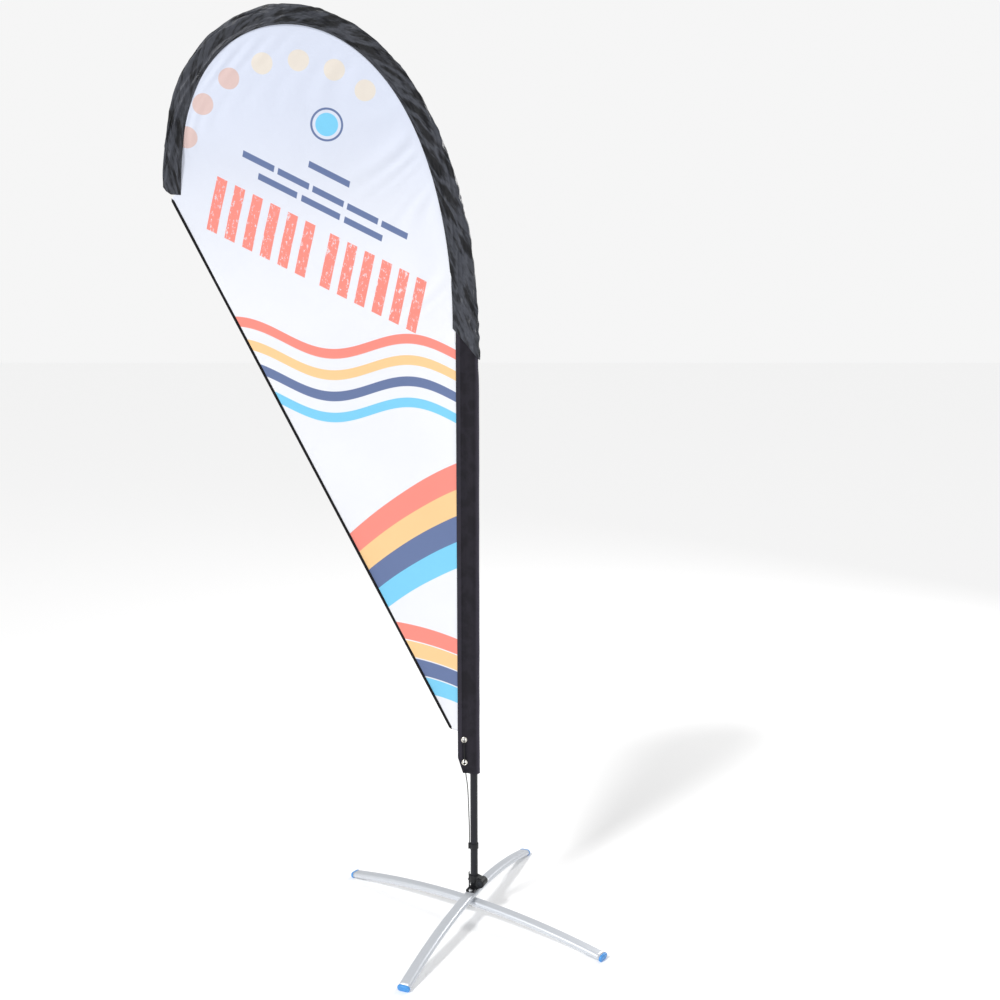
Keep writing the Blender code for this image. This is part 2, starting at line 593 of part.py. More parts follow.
def hinge_bracket() -> None:
    """A plate on the upper leg with fork arms round the pivot bolt and two cheeks for the pin."""
    z0 = BRACKET_Z
    half, length = PLATE_HALF_WIDTH, PLATE_HALF_LENGTH
    bracket = block("hinge_bracket", (-half, -length, z0), (half, length, z0 + PLATE_THICKNESS),
                    black_plastic)
    pivot = -POLE_SETBACK
    tongue_end = pivot - BOLT_HEAD_RADIUS
    tongue = block("bracket_tongue", (-TONGUE_HALF_WIDTH, tongue_end, z0),
                   (TONGUE_HALF_WIDTH, -length + 2 * MM, z0 + TONGUE_THICKNESS))
    arms = [block("bracket_arm_" + tag, (min(a, b), pivot - FORK_REACH, z0),
                  (max(a, b), -length + 3 * MM, z0 + FORK_HEIGHT))
            for tag, a, b in (("left", -FORK_INNER, -FORK_OUTER), ("right", FORK_INNER, FORK_OUTER))]
    link = block("bracket_link", (-FORK_OUTER + 1 * MM, -length - 2.5 * MM, z0),
                 (FORK_OUTER - 1 * MM, -length + 2 * MM, z0 + TONGUE_THICKNESS))
    rear = block("bracket_rear", (-REAR_FOOT_HALF_WIDTH, length - 2 * MM, z0),
                 (REAR_FOOT_HALF_WIDTH, length + REAR_FOOT_LENGTH, z0 + REAR_FOOT_THICKNESS))
    stop = block("bracket_stop", (-6.5 * MM, -5.5 * MM, z0 + 1 * MM),
                 (2.5 * MM, 5.5 * MM, z0 + HOUSING_LIFT - GAP))
    catch_top = z0 + PLATE_THICKNESS
    catch = block("bracket_catch", (GAP - LATCH_STANDOFF, -CATCH_HALF_WIDTH, catch_top - CATCH_HEIGHT),
                  (-half + 1 * MM, CATCH_HALF_WIDTH, catch_top))
    axis = (TILT_OFFSET, z0 + TILT_HEIGHT)
    outline = ([(-9 * MM, z0 + 1 * MM), (half - 0.5 * MM, z0 + 1 * MM), (half + 4 * MM, z0 + 5 * MM)]
               + disc(axis, KNUCKLE_RADIUS, -75, 135, 20)
               + disc(axis, KNUCKLE_RADIUS, 150, 216, 7)
               + [(8 * MM, z0 + HOUSING_LIFT + 0.8 * MM), (-7 * MM, z0 + HOUSING_LIFT - 2 * GAP)])
    cheeks = []
    inner = EAR_HALF_THICKNESS + GAP
    for tag, side in (("front", -1), ("back", 1)):
        low, high = sorted((side * inner, side * (inner + CHEEK_THICKNESS)))
        cheeks.append(flat_shape("bracket_cheek_" + tag, outline, low, high, "XZ"))
    reach = inner + CHEEK_THICKNESS + 5 * MM
    pin_hole = rod("bracket_pin_hole", PIN_RADIUS + BOLT_CLEARANCE, (axis[0], -reach, axis[1]),
                   (axis[0], reach, axis[1]))
    face = inner + CHEEK_THICKNESS
    recess = rod("bracket_pin_recess", PIN_HEAD_RADIUS + BOLT_CLEARANCE,
                 (axis[0], -face - 1 * MM, axis[1]), (axis[0], -face + PIN_HEAD_HEIGHT + GAP, axis[1]))
    bolt_hole = rod("bracket_bolt_hole", BOLT_RADIUS + BOLT_CLEARANCE, (0, pivot, z0 - 5 * MM),
                    (0, pivot, z0 + 9 * MM))
    rivet_hole = rod("bracket_rivet_hole", RIVET_RADIUS + BOLT_CLEARANCE,
                     (0, rear_foot_middle(), z0 - 5 * MM), (0, rear_foot_middle(), z0 + 9 * MM))
    added = [link, tongue, rear, stop, catch, *arms, *cheeks]
    removed = [pin_hole, recess, bolt_hole, rivet_hole]
    for obj in [bracket, *added, *removed]:
        place(obj, hinge_frame)
    combine(bracket, "UNION", *added)
    combine(bracket, "DIFFERENCE", *removed)

    rivet_top = z0 + REAR_FOOT_THICKNESS + GAP
    inside = z0 - GAP - LEG_WALL - 1.3 * MM
    rivet = turned("bracket_rivet",
                   [(0, rivet_top + 1.6 * MM), (RIVET_HEAD_RADIUS * 0.7, rivet_top + 1.3 * MM),
                    (RIVET_HEAD_RADIUS, rivet_top + 0.3 * MM), (RIVET_HEAD_RADIUS, rivet_top),
                    (RIVET_RADIUS, rivet_top), (RIVET_RADIUS, inside), (RIVET_TAIL_RADIUS, inside - 1 * MM),
                    (RIVET_TAIL_RADIUS, inside - 3 * MM), (0, inside - 3.6 * MM)], zinc, 20, closed=False)
    rivet.location = (0, rear_foot_middle(), 0)
    place(rivet, hinge_frame)

    head_back = -face + PIN_HEAD_HEIGHT
    length_end = face + 2 * GAP + 4.2 * MM
    front = -face + 0.2 * MM
    profile = [(0, length_end), (PIN_RADIUS, length_end), (PIN_RADIUS, head_back),
               (PIN_HEAD_RADIUS, head_back), (PIN_HEAD_RADIUS, front + 0.4 * MM),
               (PIN_HEAD_RADIUS * 0.8, front), (0, front)]
    pin = turned("hinge_pin", profile, steel, 24, closed=False)
    pin.rotation_euler[0] = -pi / 2
    pin.location = (axis[0], 0, axis[1])
    place(pin, hinge_frame)
    nut = hex_nut("hinge_pin_nut", NUT_FLATS, PIN_RADIUS, face + GAP, face + GAP + 4 * MM, steel)
    nut.rotation_euler[0] = -pi / 2
    nut.location = (axis[0], 0, axis[1])
    place(nut, hinge_frame)


# ---- swivel housing, latch and bearing

def swivel_housing() -> None:
    """A turned cup with an ear for the hinge pin and lugs for the latch."""
    z0, top = HOUSING_Z, HOUSING_Z + HOUSING_HEIGHT
    axis = (TILT_OFFSET, BRACKET_Z + TILT_HEIGHT)
    profile = [(0, top), (HOUSING_RADIUS - HOUSING_EDGE, top), (HOUSING_RADIUS, top - HOUSING_EDGE),
               (HOUSING_RADIUS, z0 + HOUSING_CONE), (HOUSING_FOOT_RADIUS, z0), (0, z0)]
    cup = turned("swivel_housing", profile, black_plastic, 28, closed=False)
    outline = ([(2 * MM, z0 + 4 * MM), (8 * MM, z0 + 2.4 * MM)]
               + disc(axis, KNUCKLE_RADIUS, -100, 62, 18)
               + [(10.4 * MM, top - 0.8 * MM), (2 * MM, top - 0.8 * MM)])
    ear = flat_shape("housing_ear", outline, -EAR_HALF_THICKNESS, EAR_HALF_THICKNESS, "XZ")
    lug_z = BRACKET_Z + LATCH_PIN_HEIGHT
    lug_u = -(LATCH_STANDOFF + LATCH_THICKNESS / 2)
    lugs = []
    for tag, side in (("front", -1), ("back", 1)):
        low, high = sorted((side * LUG_INNER, side * (LUG_INNER + LUG_THICKNESS)))
        arc = disc((lug_u, lug_z), LATCH_BOSS_RADIUS, 90, 270, 9)
        root_of_lug = [(-8 * MM, lug_z - 3.4 * MM), (-8 * MM, lug_z + 3.4 * MM)]
        lugs.append(flat_shape("housing_lug_" + tag, arc + root_of_lug, low, high, "XZ"))
    mouth = POLE_RADIUS + SOCKET_CLEARANCE
    seat = BEARING_RADIUS + GAP
    seat_z = z0 + HOUSING_FLOOR + NUT_POCKET_HEIGHT
    seat_top = seat_z + BEARING_WIDTH + 2 * GAP
    past = 5 * MM
    pocket_floor = z0 + HOUSING_FLOOR
    profile = [(0, top + past), (mouth, top + past), (mouth, seat_top), (seat, seat_top), (seat, seat_z),
               (NUT_POCKET_RADIUS, seat_z), (NUT_POCKET_RADIUS, pocket_floor), (DRAIN_RADIUS, pocket_floor),
               (DRAIN_RADIUS, z0 - past), (0, z0 - past)]
    bore = turned("housing_bore", profile, segments=28, closed=False)
    recess = block("housing_recess", (-2 * HOUSING_RADIUS, -LUG_INNER, z0 - past),
                   (RECESS_DEPTH - HOUSING_RADIUS, LUG_INNER, top + past))
    reach = EAR_HALF_THICKNESS + past
    pin_hole = rod("housing_pin_hole", PIN_RADIUS + BOLT_CLEARANCE, (axis[0], -reach, axis[1]),
                   (axis[0], reach, axis[1]))
    lug_reach = LUG_INNER + LUG_THICKNESS + 2 * MM
    lug_hole = rod("housing_lug_hole", LATCH_PIN_RADIUS + BOLT_CLEARANCE, (lug_u, -lug_reach, lug_z),
                   (lug_u, lug_reach, lug_z), segments=16)
    for obj in [cup, ear, bore, recess, pin_hole, lug_hole, *lugs]:
        place(obj, tilt_frame, tilt_base)
    combine(cup, "UNION", ear, *lugs)
    combine(cup, "DIFFERENCE", bore, recess, pin_hole, lug_hole)


def lock_latch() -> None:
    """A lever on a pin whose nose hooks under the bracket's catch, and its torsion spring."""
    pin_u = -(LATCH_STANDOFF + LATCH_THICKNESS / 2)
    pin_z = BRACKET_Z + LATCH_PIN_HEIGHT
    inner, outer = -LATCH_STANDOFF, -(LATCH_STANDOFF + LATCH_THICKNESS)
    top = BRACKET_Z + LATCH_TOP
    catch_low = BRACKET_Z + PLATE_THICKNESS - CATCH_HEIGHT
    nose_top = catch_low - GAP
    nose_low = nose_top - 1.6 * MM
    outline = ([(outer - 0.5 * MM, top), (outer - 0.1 * MM, top - 9 * MM)]
               + disc((pin_u, pin_z), LATCH_BOSS_RADIUS, 115, 245, 7)
               + [(outer, nose_low + 0.6 * MM), (outer + 0.6 * MM, nose_low), (inner + 0.4 * MM, nose_low),
                  (inner + LATCH_NOSE, nose_top), (inner, nose_top)]
               + disc((pin_u, pin_z), LATCH_BOSS_RADIUS, -65, 65, 7)
               + [(inner, top - 9 * MM), (inner - 0.4 * MM, top)])
    lever = flat_shape("lock_latch", outline, -LATCH_HALF_WIDTH, LATCH_HALF_WIDTH, "XZ", black_plastic)
    reach = LATCH_HALF_WIDTH + 5 * MM
    hole = rod("latch_hole", LATCH_PIN_RADIUS + BOLT_CLEARANCE, (pin_u, -reach, pin_z), (pin_u, reach, pin_z),
               segments=16)
    latch_base = Vector((pin_u, 0, pin_z))
    latch_frame = empty("latch_axis", tilt_frame, latch_base - Vector(tilt_base))
    for obj in (lever, hole):
        place(obj, latch_frame, latch_base)
    combine(lever, "DIFFERENCE", hole)

    end = LUG_INNER + LUG_THICKNESS + 0.6 * MM
    pin = rod("latch_pin", LATCH_PIN_RADIUS, (pin_u, -end, pin_z), (pin_u, end, pin_z), steel, 16)
    place(pin, tilt_frame, tilt_base)

    coil_radius = LATCH_PIN_RADIUS + GAP + SPRING_WIRE_RADIUS
    room = LUG_INNER - LATCH_HALF_WIDTH - 2 * GAP - 2 * SPRING_WIRE_RADIUS
    first = LATCH_HALF_WIDTH + GAP + SPRING_WIRE_RADIUS
    steps = int(SPRING_TURNS * 12)
    coil = []
    for i in range(steps + 1):
        angle = 2 * pi * SPRING_TURNS * i / steps
        y = first + room * i / steps
        coil.append((pin_u + coil_radius * cos(angle), y, pin_z + coil_radius * sin(angle)))
    tail = 3.5 * MM
    coil.insert(0, (coil[0][0], coil[0][1], pin_z - tail))
    coil.append((coil[-1][0], coil[-1][1], pin_z + tail))
    spring = wire("latch_spring", coil, SPRING_WIRE_RADIUS, steel)
    place(spring, tilt_frame, tilt_base)


def ball_bearing() -> None:
    """Two races with a ring of balls, round the pole's axis."""
    pitch = (BEARING_RADIUS + BEARING_BORE_RADIUS) / 2
    low, high = BEARING_Z, BEARING_Z + BEARING_WIDTH
    middle = (low + high) / 2
    track = BALL_RADIUS + TRACK_CLEARANCE
    spread = degrees(atan2(sqrt(track ** 2 - RACE_SHOULDER ** 2), RACE_SHOULDER))
    outer = ([(BEARING_RADIUS, high), (BEARING_RADIUS, low), (pitch + RACE_SHOULDER, low)]
             + disc((pitch, middle), track, -spread, spread, 9) + [(pitch + RACE_SHOULDER, high)])
    inner = ([(pitch - RACE_SHOULDER, high)] + disc((pitch, middle), track, 180 - spread, 180 + spread, 9)
             + [(pitch - RACE_SHOULDER, low), (BEARING_BORE_RADIUS, low), (BEARING_BORE_RADIUS, high)])
    place(turned("bearing_outer_race", outer, steel, 20), tilt_frame, tilt_base)
    place(turned("bearing_inner_race", inner, steel, 20), spin_frame)
    ball = bpy.data.meshes.new("bearing_ball")
    bm = bmesh.new()
    bmesh.ops.create_uvsphere(bm, u_segments=10, v_segments=6, radius=BALL_RADIUS)
    bm.to_mesh(ball)
    bm.free()
    smooth(ball)
    ball.materials.append(steel)
    for i in range(BALL_COUNT):
        angle = 2 * pi * i / BALL_COUNT
        obj = new_object(f"bearing_ball_{i + 1}", ball)
        obj.location = (pitch * cos(angle), pitch * sin(angle), middle)
        place(obj, spin_frame)


def spigot() -> None:
    """The rotor: a bright spigot on a flange, its stub held under the bearing by a nut."""
    flange_top = FLANGE_Z + FLANGE_THICKNESS
    stub = BEARING_BORE_RADIUS - GAP
    tip = flange_top + SPIGOT_LENGTH
    stub_end = BEARING_Z + 0.2 * MM
    thread_end = stub_end - SPIGOT_NUT_HEIGHT - 1.2 * MM
    shoulder = FLANGE_Z - SHOULDER_HEIGHT
    profile = [(0, tip), (SPIGOT_RADIUS * 0.6, tip), (SPIGOT_RADIUS, tip - SPIGOT_POINT),
               (SPIGOT_RADIUS, flange_top), (FLANGE_RADIUS, flange_top), (FLANGE_RADIUS, FLANGE_Z),
               (SHOULDER_RADIUS, FLANGE_Z), (SHOULDER_RADIUS, shoulder), (stub, shoulder), (stub, stub_end),
               (THREAD_RADIUS, stub_end), (THREAD_RADIUS, thread_end), (0, thread_end)]
    place(turned("spigot", profile, chrome, 24, closed=False), spin_frame)
    nut_top = BEARING_Z - GAP
    nut = hex_nut("spigot_nut", NUT_FLATS, THREAD_RADIUS, nut_top - SPIGOT_NUT_HEIGHT, nut_top, zinc)
    place(nut, spin_frame)


# ---- pole

def bend(steps: int = BEND_STEPS) -> tuple:
    """Points, tangent angles and shares of the pole's bend.

    Curvature grows as u**rise * (1-u)**fall + base, scaled so that it peaks at one share
    and sums to the whole turn; the path is the integral of its direction.
    """
    fine = steps * 20
    u = np.linspace(0, 1, fine + 1)
    total = BEND_RISE + BEND_FALL
    peak = BEND_RISE ** BEND_RISE * BEND_FALL ** BEND_FALL / total ** total
    curvature = u ** BEND_RISE * (1 - u) ** BEND_FALL / peak + BEND_BASE
    angle = np.concatenate([[0], np.cumsum((curvature[1:] + curvature[:-1]) / 2)])
    angle *= BEND_TURN / angle[-1]
    middle = (angle[1:] + angle[:-1]) / 2
    step = BEND_LENGTH / fine
    x = np.concatenate([[0], np.cumsum(-np.sin(middle)) * step])
    z = BEND_HEIGHT + np.concatenate([[0], np.cumsum(np.cos(middle)) * step])
    pick = np.arange(0, fine + 1, 20)
    return x[pick], z[pick], angle[pick], u[pick]


def bend_at(share: float) -> tuple:
    """One point of the bend and its tangent angle."""
    x, z, angle, u = bend(200)
    return tuple(float(np.interp(share, u, values)) for values in (x, z, angle))


def along_pole(obj, share: float) -> None:
    """Turn a piece made along Z from its origin to lie along the bend at a share."""
    x, z, angle = bend_at(share)
    obj.location = (x, 0, z)
    obj.rotation_euler[1] = -angle
    obj.parent = pole_frame


def pole() -> None:
    tube_inner = POLE_RADIUS - POLE_WALL
    bush_bore = SPIGOT_RADIUS + BUSH_CLEARANCE
    bush_outer = tube_inner - GAP
    bush_low = POLE_Z
    flange_top = bush_low + BUSH_FLANGE
    bush_top = flange_top + BUSH_LENGTH
    profile = [(bush_outer, bush_top), (bush_outer, flange_top), (POLE_RADIUS, flange_top),
               (POLE_RADIUS, bush_low), (bush_bore, bush_low), (bush_bore, bush_top)]
    bush = turned("pole_foot_bush", profile, black_plastic, 28)
    place(bush, pole_frame)
    place(ring("pole_lower", POLE_RADIUS, tube_inner, flange_top + GAP, JOINT_Z, pole_metal), pole_frame)

    seat = ROD_RADIUS_LOW + GAP
    neck_top = JOINT_Z + FERRULE_ABOVE
    collar_low = JOINT_Z + GAP
    collar_top = collar_low + FERRULE_COLLAR
    plug = tube_inner - GAP
    foot = JOINT_Z - FERRULE_BELOW
    seat_floor = JOINT_Z - ROD_SEAT - GAP
    profile = [(FERRULE_NECK_RADIUS, neck_top), (FERRULE_NECK_RADIUS, collar_top), (POLE_RADIUS, collar_top),
               (POLE_RADIUS, collar_low), (plug, collar_low), (plug, foot), (0, foot), (0, seat_floor),
               (seat, seat_floor), (seat, neck_top)]
    ferrule = turned("pole_ferrule", profile, zinc, 24, closed=True)
    place(ferrule, pole_frame)

    x, z, _, u = bend()
    rod_share = 1 - POLE_TIP_SHORT / BEND_LENGTH
    keep = u < rod_share - 0.005
    tip_x, tip_z, _ = bend_at(rod_share)
    curve = [(a, 0, b) for a, b in zip(x[keep], z[keep])]
    points = [(0, 0, JOINT_Z - ROD_SEAT), *curve, (tip_x, 0, tip_z)]
    shares = [0.0] + list(u[keep]) + [rod_share]
    radii = [ROD_RADIUS_LOW + (ROD_RADIUS_TIP - ROD_RADIUS_LOW) * s for s in shares]
    wire("pole_upper", points, ROD_RADIUS_LOW, fibreglass, radii).parent = pole_frame

    bore = ROD_RADIUS_TIP + TIP_CAP_CLEARANCE
    end = TIP_CAP_LENGTH - TIP_CAP_SEAT
    dome = [(TIP_CAP_RADIUS * cos(a), end - TIP_CAP_DOME * (1 - sin(a))) for a in np.linspace(pi / 2, 0, 5)]
    skirt = [(TIP_CAP_RADIUS, -TIP_CAP_SEAT), (bore, -TIP_CAP_SEAT), (bore, GAP), (0, GAP)]
    cap = turned("pole_tip_cap", dome + skirt, rubber, 20, closed=False)
    along_pole(cap, rod_share)


# ---- flag

def sleeve_section(out: float, width: float, half: float, tunnel: float, wall: float) -> np.ndarray:
    """A flattened tube's section as (a, y): a is outward from the pole's centre.

    The outer side is a half ellipse over the pole. The inner side falls along a cosine to
    the seam's thickness over the tunnel's width, then runs flat to the seam.
    """
    out, width, half, seam = out - wall, width - 2 * wall, half - wall, SLEEVE_SEAM_HALF - wall
    steps = SECTION_STEPS // 2
    crown = np.linspace(0, pi / 2, steps // 2 + 1)
    a = list(out * np.cos(crown))
    y = list(half * np.sin(crown))
    for share in (0.3, 0.5, 0.7, 1.0):
        a.append(-tunnel * share)
        y.append(seam + (half - seam) * (0.5 + 0.5 * cos(pi * share)))
    a.append(out - width)
    y.append(seam)
    upper = list(zip(a, y))
    lower = [(p, -q) for p, q in upper[::-1] if q > 1e-9]
    return np.array(upper + lower)


def sleeve(name: str, stations: list, tunnel: float, mat) -> object:
    """A sleeve lofted through stations of (x, z, angle, out, width, half)."""
    walls = []
    for wall in (0.0, SLEEVE_WALL):
        rings = []
        for x, z, angle, out, width, half in stations:
            section = sleeve_section(out, width, half, tunnel, wall)
            rings.append([(x + a * cos(angle), y, z + a * sin(angle)) for a, y in section])
        walls.append(np.array(rings))
    obj = double_wall(name, walls[0], walls[1], mat)
    obj.parent = pole_frame
    return obj


def sleeve_sizes(share: float) -> tuple:
    """Outer offset, width and half thickness of the upper sleeve at a share of the bend."""
    out = SLEEVE_OUT_LOW + (SLEEVE_OUT_TIP - SLEEVE_OUT_LOW) * share
    width = SLEEVE_WIDTH_TIP + (SLEEVE_WIDTH_LOW - SLEEVE_WIDTH_TIP) * (1 - share) ** SLEEVE_TAPER
    half = SLEEVE_HALF_LOW + (SLEEVE_HALF_TIP - SLEEVE_HALF_LOW) * share
    return out, width, half


def sleeves() -> None:
    stations = [(0, SLEEVE_JOIN_HEIGHT, 0, *sleeve_sizes(0))]
    stations += [(x, z, angle, *sleeve_sizes(u)) for x, z, angle, u in zip(*bend())]
    sleeve("upper_sleeve", stations, SLEEVE_TUNNEL, sleeve_fabric)

    half = POLE_RADIUS + SLEEVE_POLE_SLACK + SLEEVE_WALL
    width = LOWER_SLEEVE_INNER + LOWER_SLEEVE_OUTER
    top = SLEEVE_JOIN_HEIGHT - GAP
    stations = [(0, z, 0, LOWER_SLEEVE_OUTER, width, half) for z in (LOWER_SLEEVE_FOOT, top)]
    lower = sleeve("lower_sleeve", stations, LOWER_SLEEVE_TUNNEL, knit_fabric)
    corner_x, corner_z = -LOWER_SLEEVE_INNER, LOWER_SLEEVE_FOOT
    past = 5 * MM
    cut = [(corner_x - past, corner_z - past), (corner_x + CHAMFER_WIDTH, corner_z - past),
           (corner_x + CHAMFER_WIDTH, corner_z), (corner_x, corner_z + CHAMFER_HEIGHT),
           (corner_x - past, corner_z + CHAMFER_HEIGHT)]
    chamfer = flat_shape("lower_sleeve_chamfer", cut, -2 * past, 2 * past, "XZ")
    chamfer.parent = pole_frame
    holes = []
    for tag, (x, z) in zip(("upper", "lower"), EYELET_PLACES):
        hole = rod("sleeve_hole_" + tag, EYELET_BARREL + GAP, (x, -2 * past, z), (x, 2 * past, z))
        hole.parent = pole_frame
        holes.append(hole)
    combine(lower, "DIFFERENCE", chamfer, *holes)

    inner, outer = POCKET_RADIUS, POCKET_RADIUS + POCKET_WALL
    mouth = TIP_CAP_LENGTH - TIP_CAP_SEAT + POCKET_SPARE - POCKET_LENGTH
    floor = mouth + POCKET_LENGTH
    pocket = turned("tip_pocket", [(0, floor + POCKET_WALL), (outer, floor + POCKET_WALL), (outer, mouth),
                                   (inner, mouth), (inner, floor), (0, floor)], webbing, 20, closed=False)
    along_pole(pocket, 1 - POLE_TIP_SHORT / BEND_LENGTH)


def panel() -> None:
    """The flat cloth between the sleeves' inner seams and the straight bound edge."""
    inner_edge = []
    for x, z, angle, u in zip(*bend()):
        out, width, _ = sleeve_sizes(u)
        a = out - width - GAP
        inner_edge.append((x + a * cos(angle), z + a * sin(angle)))
    out, width, _ = sleeve_sizes(0)
    shoulder = SLEEVE_JOIN_HEIGHT - GAP
    side = -LOWER_SLEEVE_INNER - GAP
    corner = tuple(np.add(inner_edge[-1], PANEL_CORNER_OFFSET))
    notch = [(side, shoulder - GAP), (out - width - GAP, shoulder - GAP)]
    outline = [corner, PANEL_POINT, (side, PANEL_FOOT), *notch, *inner_edge]
    cloth = flat_shape("flag_panel", outline, -PANEL_THICKNESS / 2, PANEL_THICKNESS / 2, "XZ", panel_fabric)
    cloth.parent = pole_frame

    (x0, z0), (x1, z1) = corner, PANEL_POINT
    length = hypot(x1 - x0, z1 - z0)
    away = (-(z0 - z1) / length, (x0 - x1) / length)
    near, far = GAP, GAP + BINDING_WIDTH
    strip = [(x + away[0] * d, z + away[1] * d) for x, z, d in
             ((x0, z0, near), (x1, z1, near), (x1, z1, far), (x0, z0, far))]
    half = BINDING_THICKNESS / 2
    binding = flat_shape("edge_binding", strip, -half, half, "XZ", webbing)
    binding.parent = pole_frame


def eyelets_and_cord() -> None:
    face, rim = EYELET_FACE, EYELET_FACE + EYELET_THICKNESS
    for tag, (x, z) in zip(("upper", "lower"), EYELET_PLACES):
        profile = [(EYELET_FLANGE, rim), (EYELET_FLANGE, face), (EYELET_BARREL, face), (EYELET_BARREL, -rim),
                   (EYELET_BORE, -rim), (EYELET_BORE, rim)]
        barrel = turned("eyelet_" + tag, profile, nickel, 24)
        washer = ring("eyelet_washer_" + tag, EYELET_FLANGE, EYELET_BARREL + GAP, -rim, -face, nickel, 24)
        for obj in (barrel, washer):
            obj.rotation_euler[0] = pi / 2
            obj.location = (x, 0, z)
            obj.parent = pole_frame
    route = [tuple(c * MM for c in point) for point in CORD_ROUTE]
    wire("tension_cord", through(route, CORD_STEPS), CORD_RADIUS, cord_fabric).parent = pole_frame

    low, high = CLIP_HEIGHT, CLIP_HEIGHT + CLIP_LENGTH
    bore = POLE_RADIUS + GAP
    clip = turned("cord_clip", [(0, high), (bore + CLIP_WALL, high), (bore + CLIP_WALL, low), (0, low)],
                  black_plastic, 28, closed=False)
    lug = block("clip_lug", (-CLIP_LUG_REACH, -CLIP_LUG_HALF, low), (0, CLIP_LUG_HALF, high))
    hole = rod("clip_bore", bore, (0, 0, low - 5 * MM), (0, 0, high + 5 * MM), segments=28)
    for obj in (clip, lug, hole):
        obj.parent = pole_frame
    combine(clip, "UNION", lug)
    combine(clip, "DIFFERENCE", hole)


def centre_on_base() -> None:
    """Shift the whole assembly so that its box is centred over the origin, standing on Z 0."""
    bpy.context.view_layer.update()
    depsgraph = bpy.context.evaluated_depsgraph_get()
    low, high = np.full(3, np.inf), np.full(3, -np.inf)
    for obj in parts.objects:
        if obj.type not in ("MESH", "CURVE"):
            continue
        evaluated = obj.evaluated_get(depsgraph)
        mesh = evaluated.to_mesh()
        co = np.empty(len(mesh.vertices) * 3)
        mesh.vertices.foreach_get("co", co)
        world = np.array(obj.matrix_world)
        co = co.reshape(-1, 3) @ world[:3, :3].T + world[:3, 3]
        low, high = np.minimum(low, co.min(axis=0)), np.maximum(high, co.max(axis=0))
        evaluated.to_mesh_clear()
    root.location = (-(low[0] + high[0]) / 2, -(low[1] + high[1]) / 2, -low[2])
    bpy.context.view_layer.update()


clear_scene()
parts = new_collection("teardrop_flag")
cutters = new_collection("cutters")

leg_metal = finish("leg_metal", (0.62, 0.64, 0.67), 0.38, 0.6)
cap_plastic = finish("cap_plastic", (0.16, 0.47, 0.86), 0.45)
chrome = finish("chrome", (0.85, 0.86, 0.88), 0.12, 1.0)
zinc = finish("zinc", (0.6, 0.6, 0.6), 0.35, 0.9)
steel = finish("steel", (0.5, 0.5, 0.52), 0.3, 1.0)
nylon = finish("nylon", (0.75, 0.74, 0.7), 0.5)
black_plastic = finish("black_plastic", (0.02, 0.022, 0.026), 0.42)
pole_metal = finish("pole_metal", (0.025, 0.027, 0.032), 0.4, 0.3)
fibreglass = finish("fibreglass", (0.03, 0.03, 0.03), 0.35)
rubber = finish("rubber", (0.02, 0.02, 0.02), 0.8)
nickel = finish("nickel", (0.75, 0.73, 0.68), 0.2, 1.0)
sleeve_fabric = finish("sleeve_fabric", (0.02, 0.021, 0.024), 0.45)
knit_fabric = finish("knit_fabric", (0.014, 0.014, 0.018), 0.8)
panel_fabric = finish("panel_fabric", (0.86, 0.87, 0.9), 0.75)
webbing = finish("webbing", (0.02, 0.02, 0.022), 0.8)
cord_fabric = finish("cord_fabric", (0.03, 0.035, 0.03), 0.8)

pole_place = (POLE_SETBACK * cos(UPPER_LEG_ANGLE), POLE_SETBACK * sin(UPPER_LEG_ANGLE), 0)
tilt_base = (TILT_OFFSET, 0, BRACKET_Z + TILT_HEIGHT)
root = empty("assembly")
lower_frame = empty("leg_fold_axis", root, turn=LOWER_LEG_ANGLE)
upper_frame = empty("upper_leg_frame", root, turn=UPPER_LEG_ANGLE)
hinge_frame = empty("hinge_frame", root, pole_place, UPPER_LEG_ANGLE - pi / 2)
tilt_frame = empty("tilt_axis", hinge_frame, tilt_base)
spin_frame = empty("spin_axis", root, pole_place)
pole_frame = empty("pole_axis", spin_frame)

cross_base()
hinge_bracket()
swivel_housing()
lock_latch()
ball_bearing()
spigot()
pole()
sleeves()
panel()
eyelets_and_cord()
centre_on_base()
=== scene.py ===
"""Looks of a teardrop flag on a crossed folding base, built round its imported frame.

Lengths are in metres in the frame's own coordinates. The flag hangs in the XZ plane that
holds the pole's axis, and the bracket stands turned with the upper leg.
"""
import logging
from dataclasses import dataclass
from enum import Enum
from math import atan, cos, pi, radians, sin
from typing import Callable, Dict, List, Optional, Sequence, Tuple, Union

import bpy
import numpy as np
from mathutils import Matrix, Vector

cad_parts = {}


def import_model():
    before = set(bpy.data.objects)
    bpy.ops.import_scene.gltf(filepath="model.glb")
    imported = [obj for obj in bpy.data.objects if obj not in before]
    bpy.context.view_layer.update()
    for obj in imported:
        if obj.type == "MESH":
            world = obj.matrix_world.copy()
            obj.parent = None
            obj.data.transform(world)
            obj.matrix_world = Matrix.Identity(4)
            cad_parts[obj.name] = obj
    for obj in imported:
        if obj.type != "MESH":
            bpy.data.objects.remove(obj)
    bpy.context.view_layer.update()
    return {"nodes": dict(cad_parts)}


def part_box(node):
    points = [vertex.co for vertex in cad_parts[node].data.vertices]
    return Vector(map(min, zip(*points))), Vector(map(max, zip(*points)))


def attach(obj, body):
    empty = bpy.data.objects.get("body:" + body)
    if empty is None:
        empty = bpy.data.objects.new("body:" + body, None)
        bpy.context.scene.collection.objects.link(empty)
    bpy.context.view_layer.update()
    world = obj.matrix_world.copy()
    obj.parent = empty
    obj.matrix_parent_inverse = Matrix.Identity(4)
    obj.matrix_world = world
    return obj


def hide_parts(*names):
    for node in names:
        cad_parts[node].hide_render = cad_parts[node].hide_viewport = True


MM = 0.001
Colour = Tuple[float, float, float]
Array = np.ndarray
UP = np.array([0.0, 0.0, 1.0])
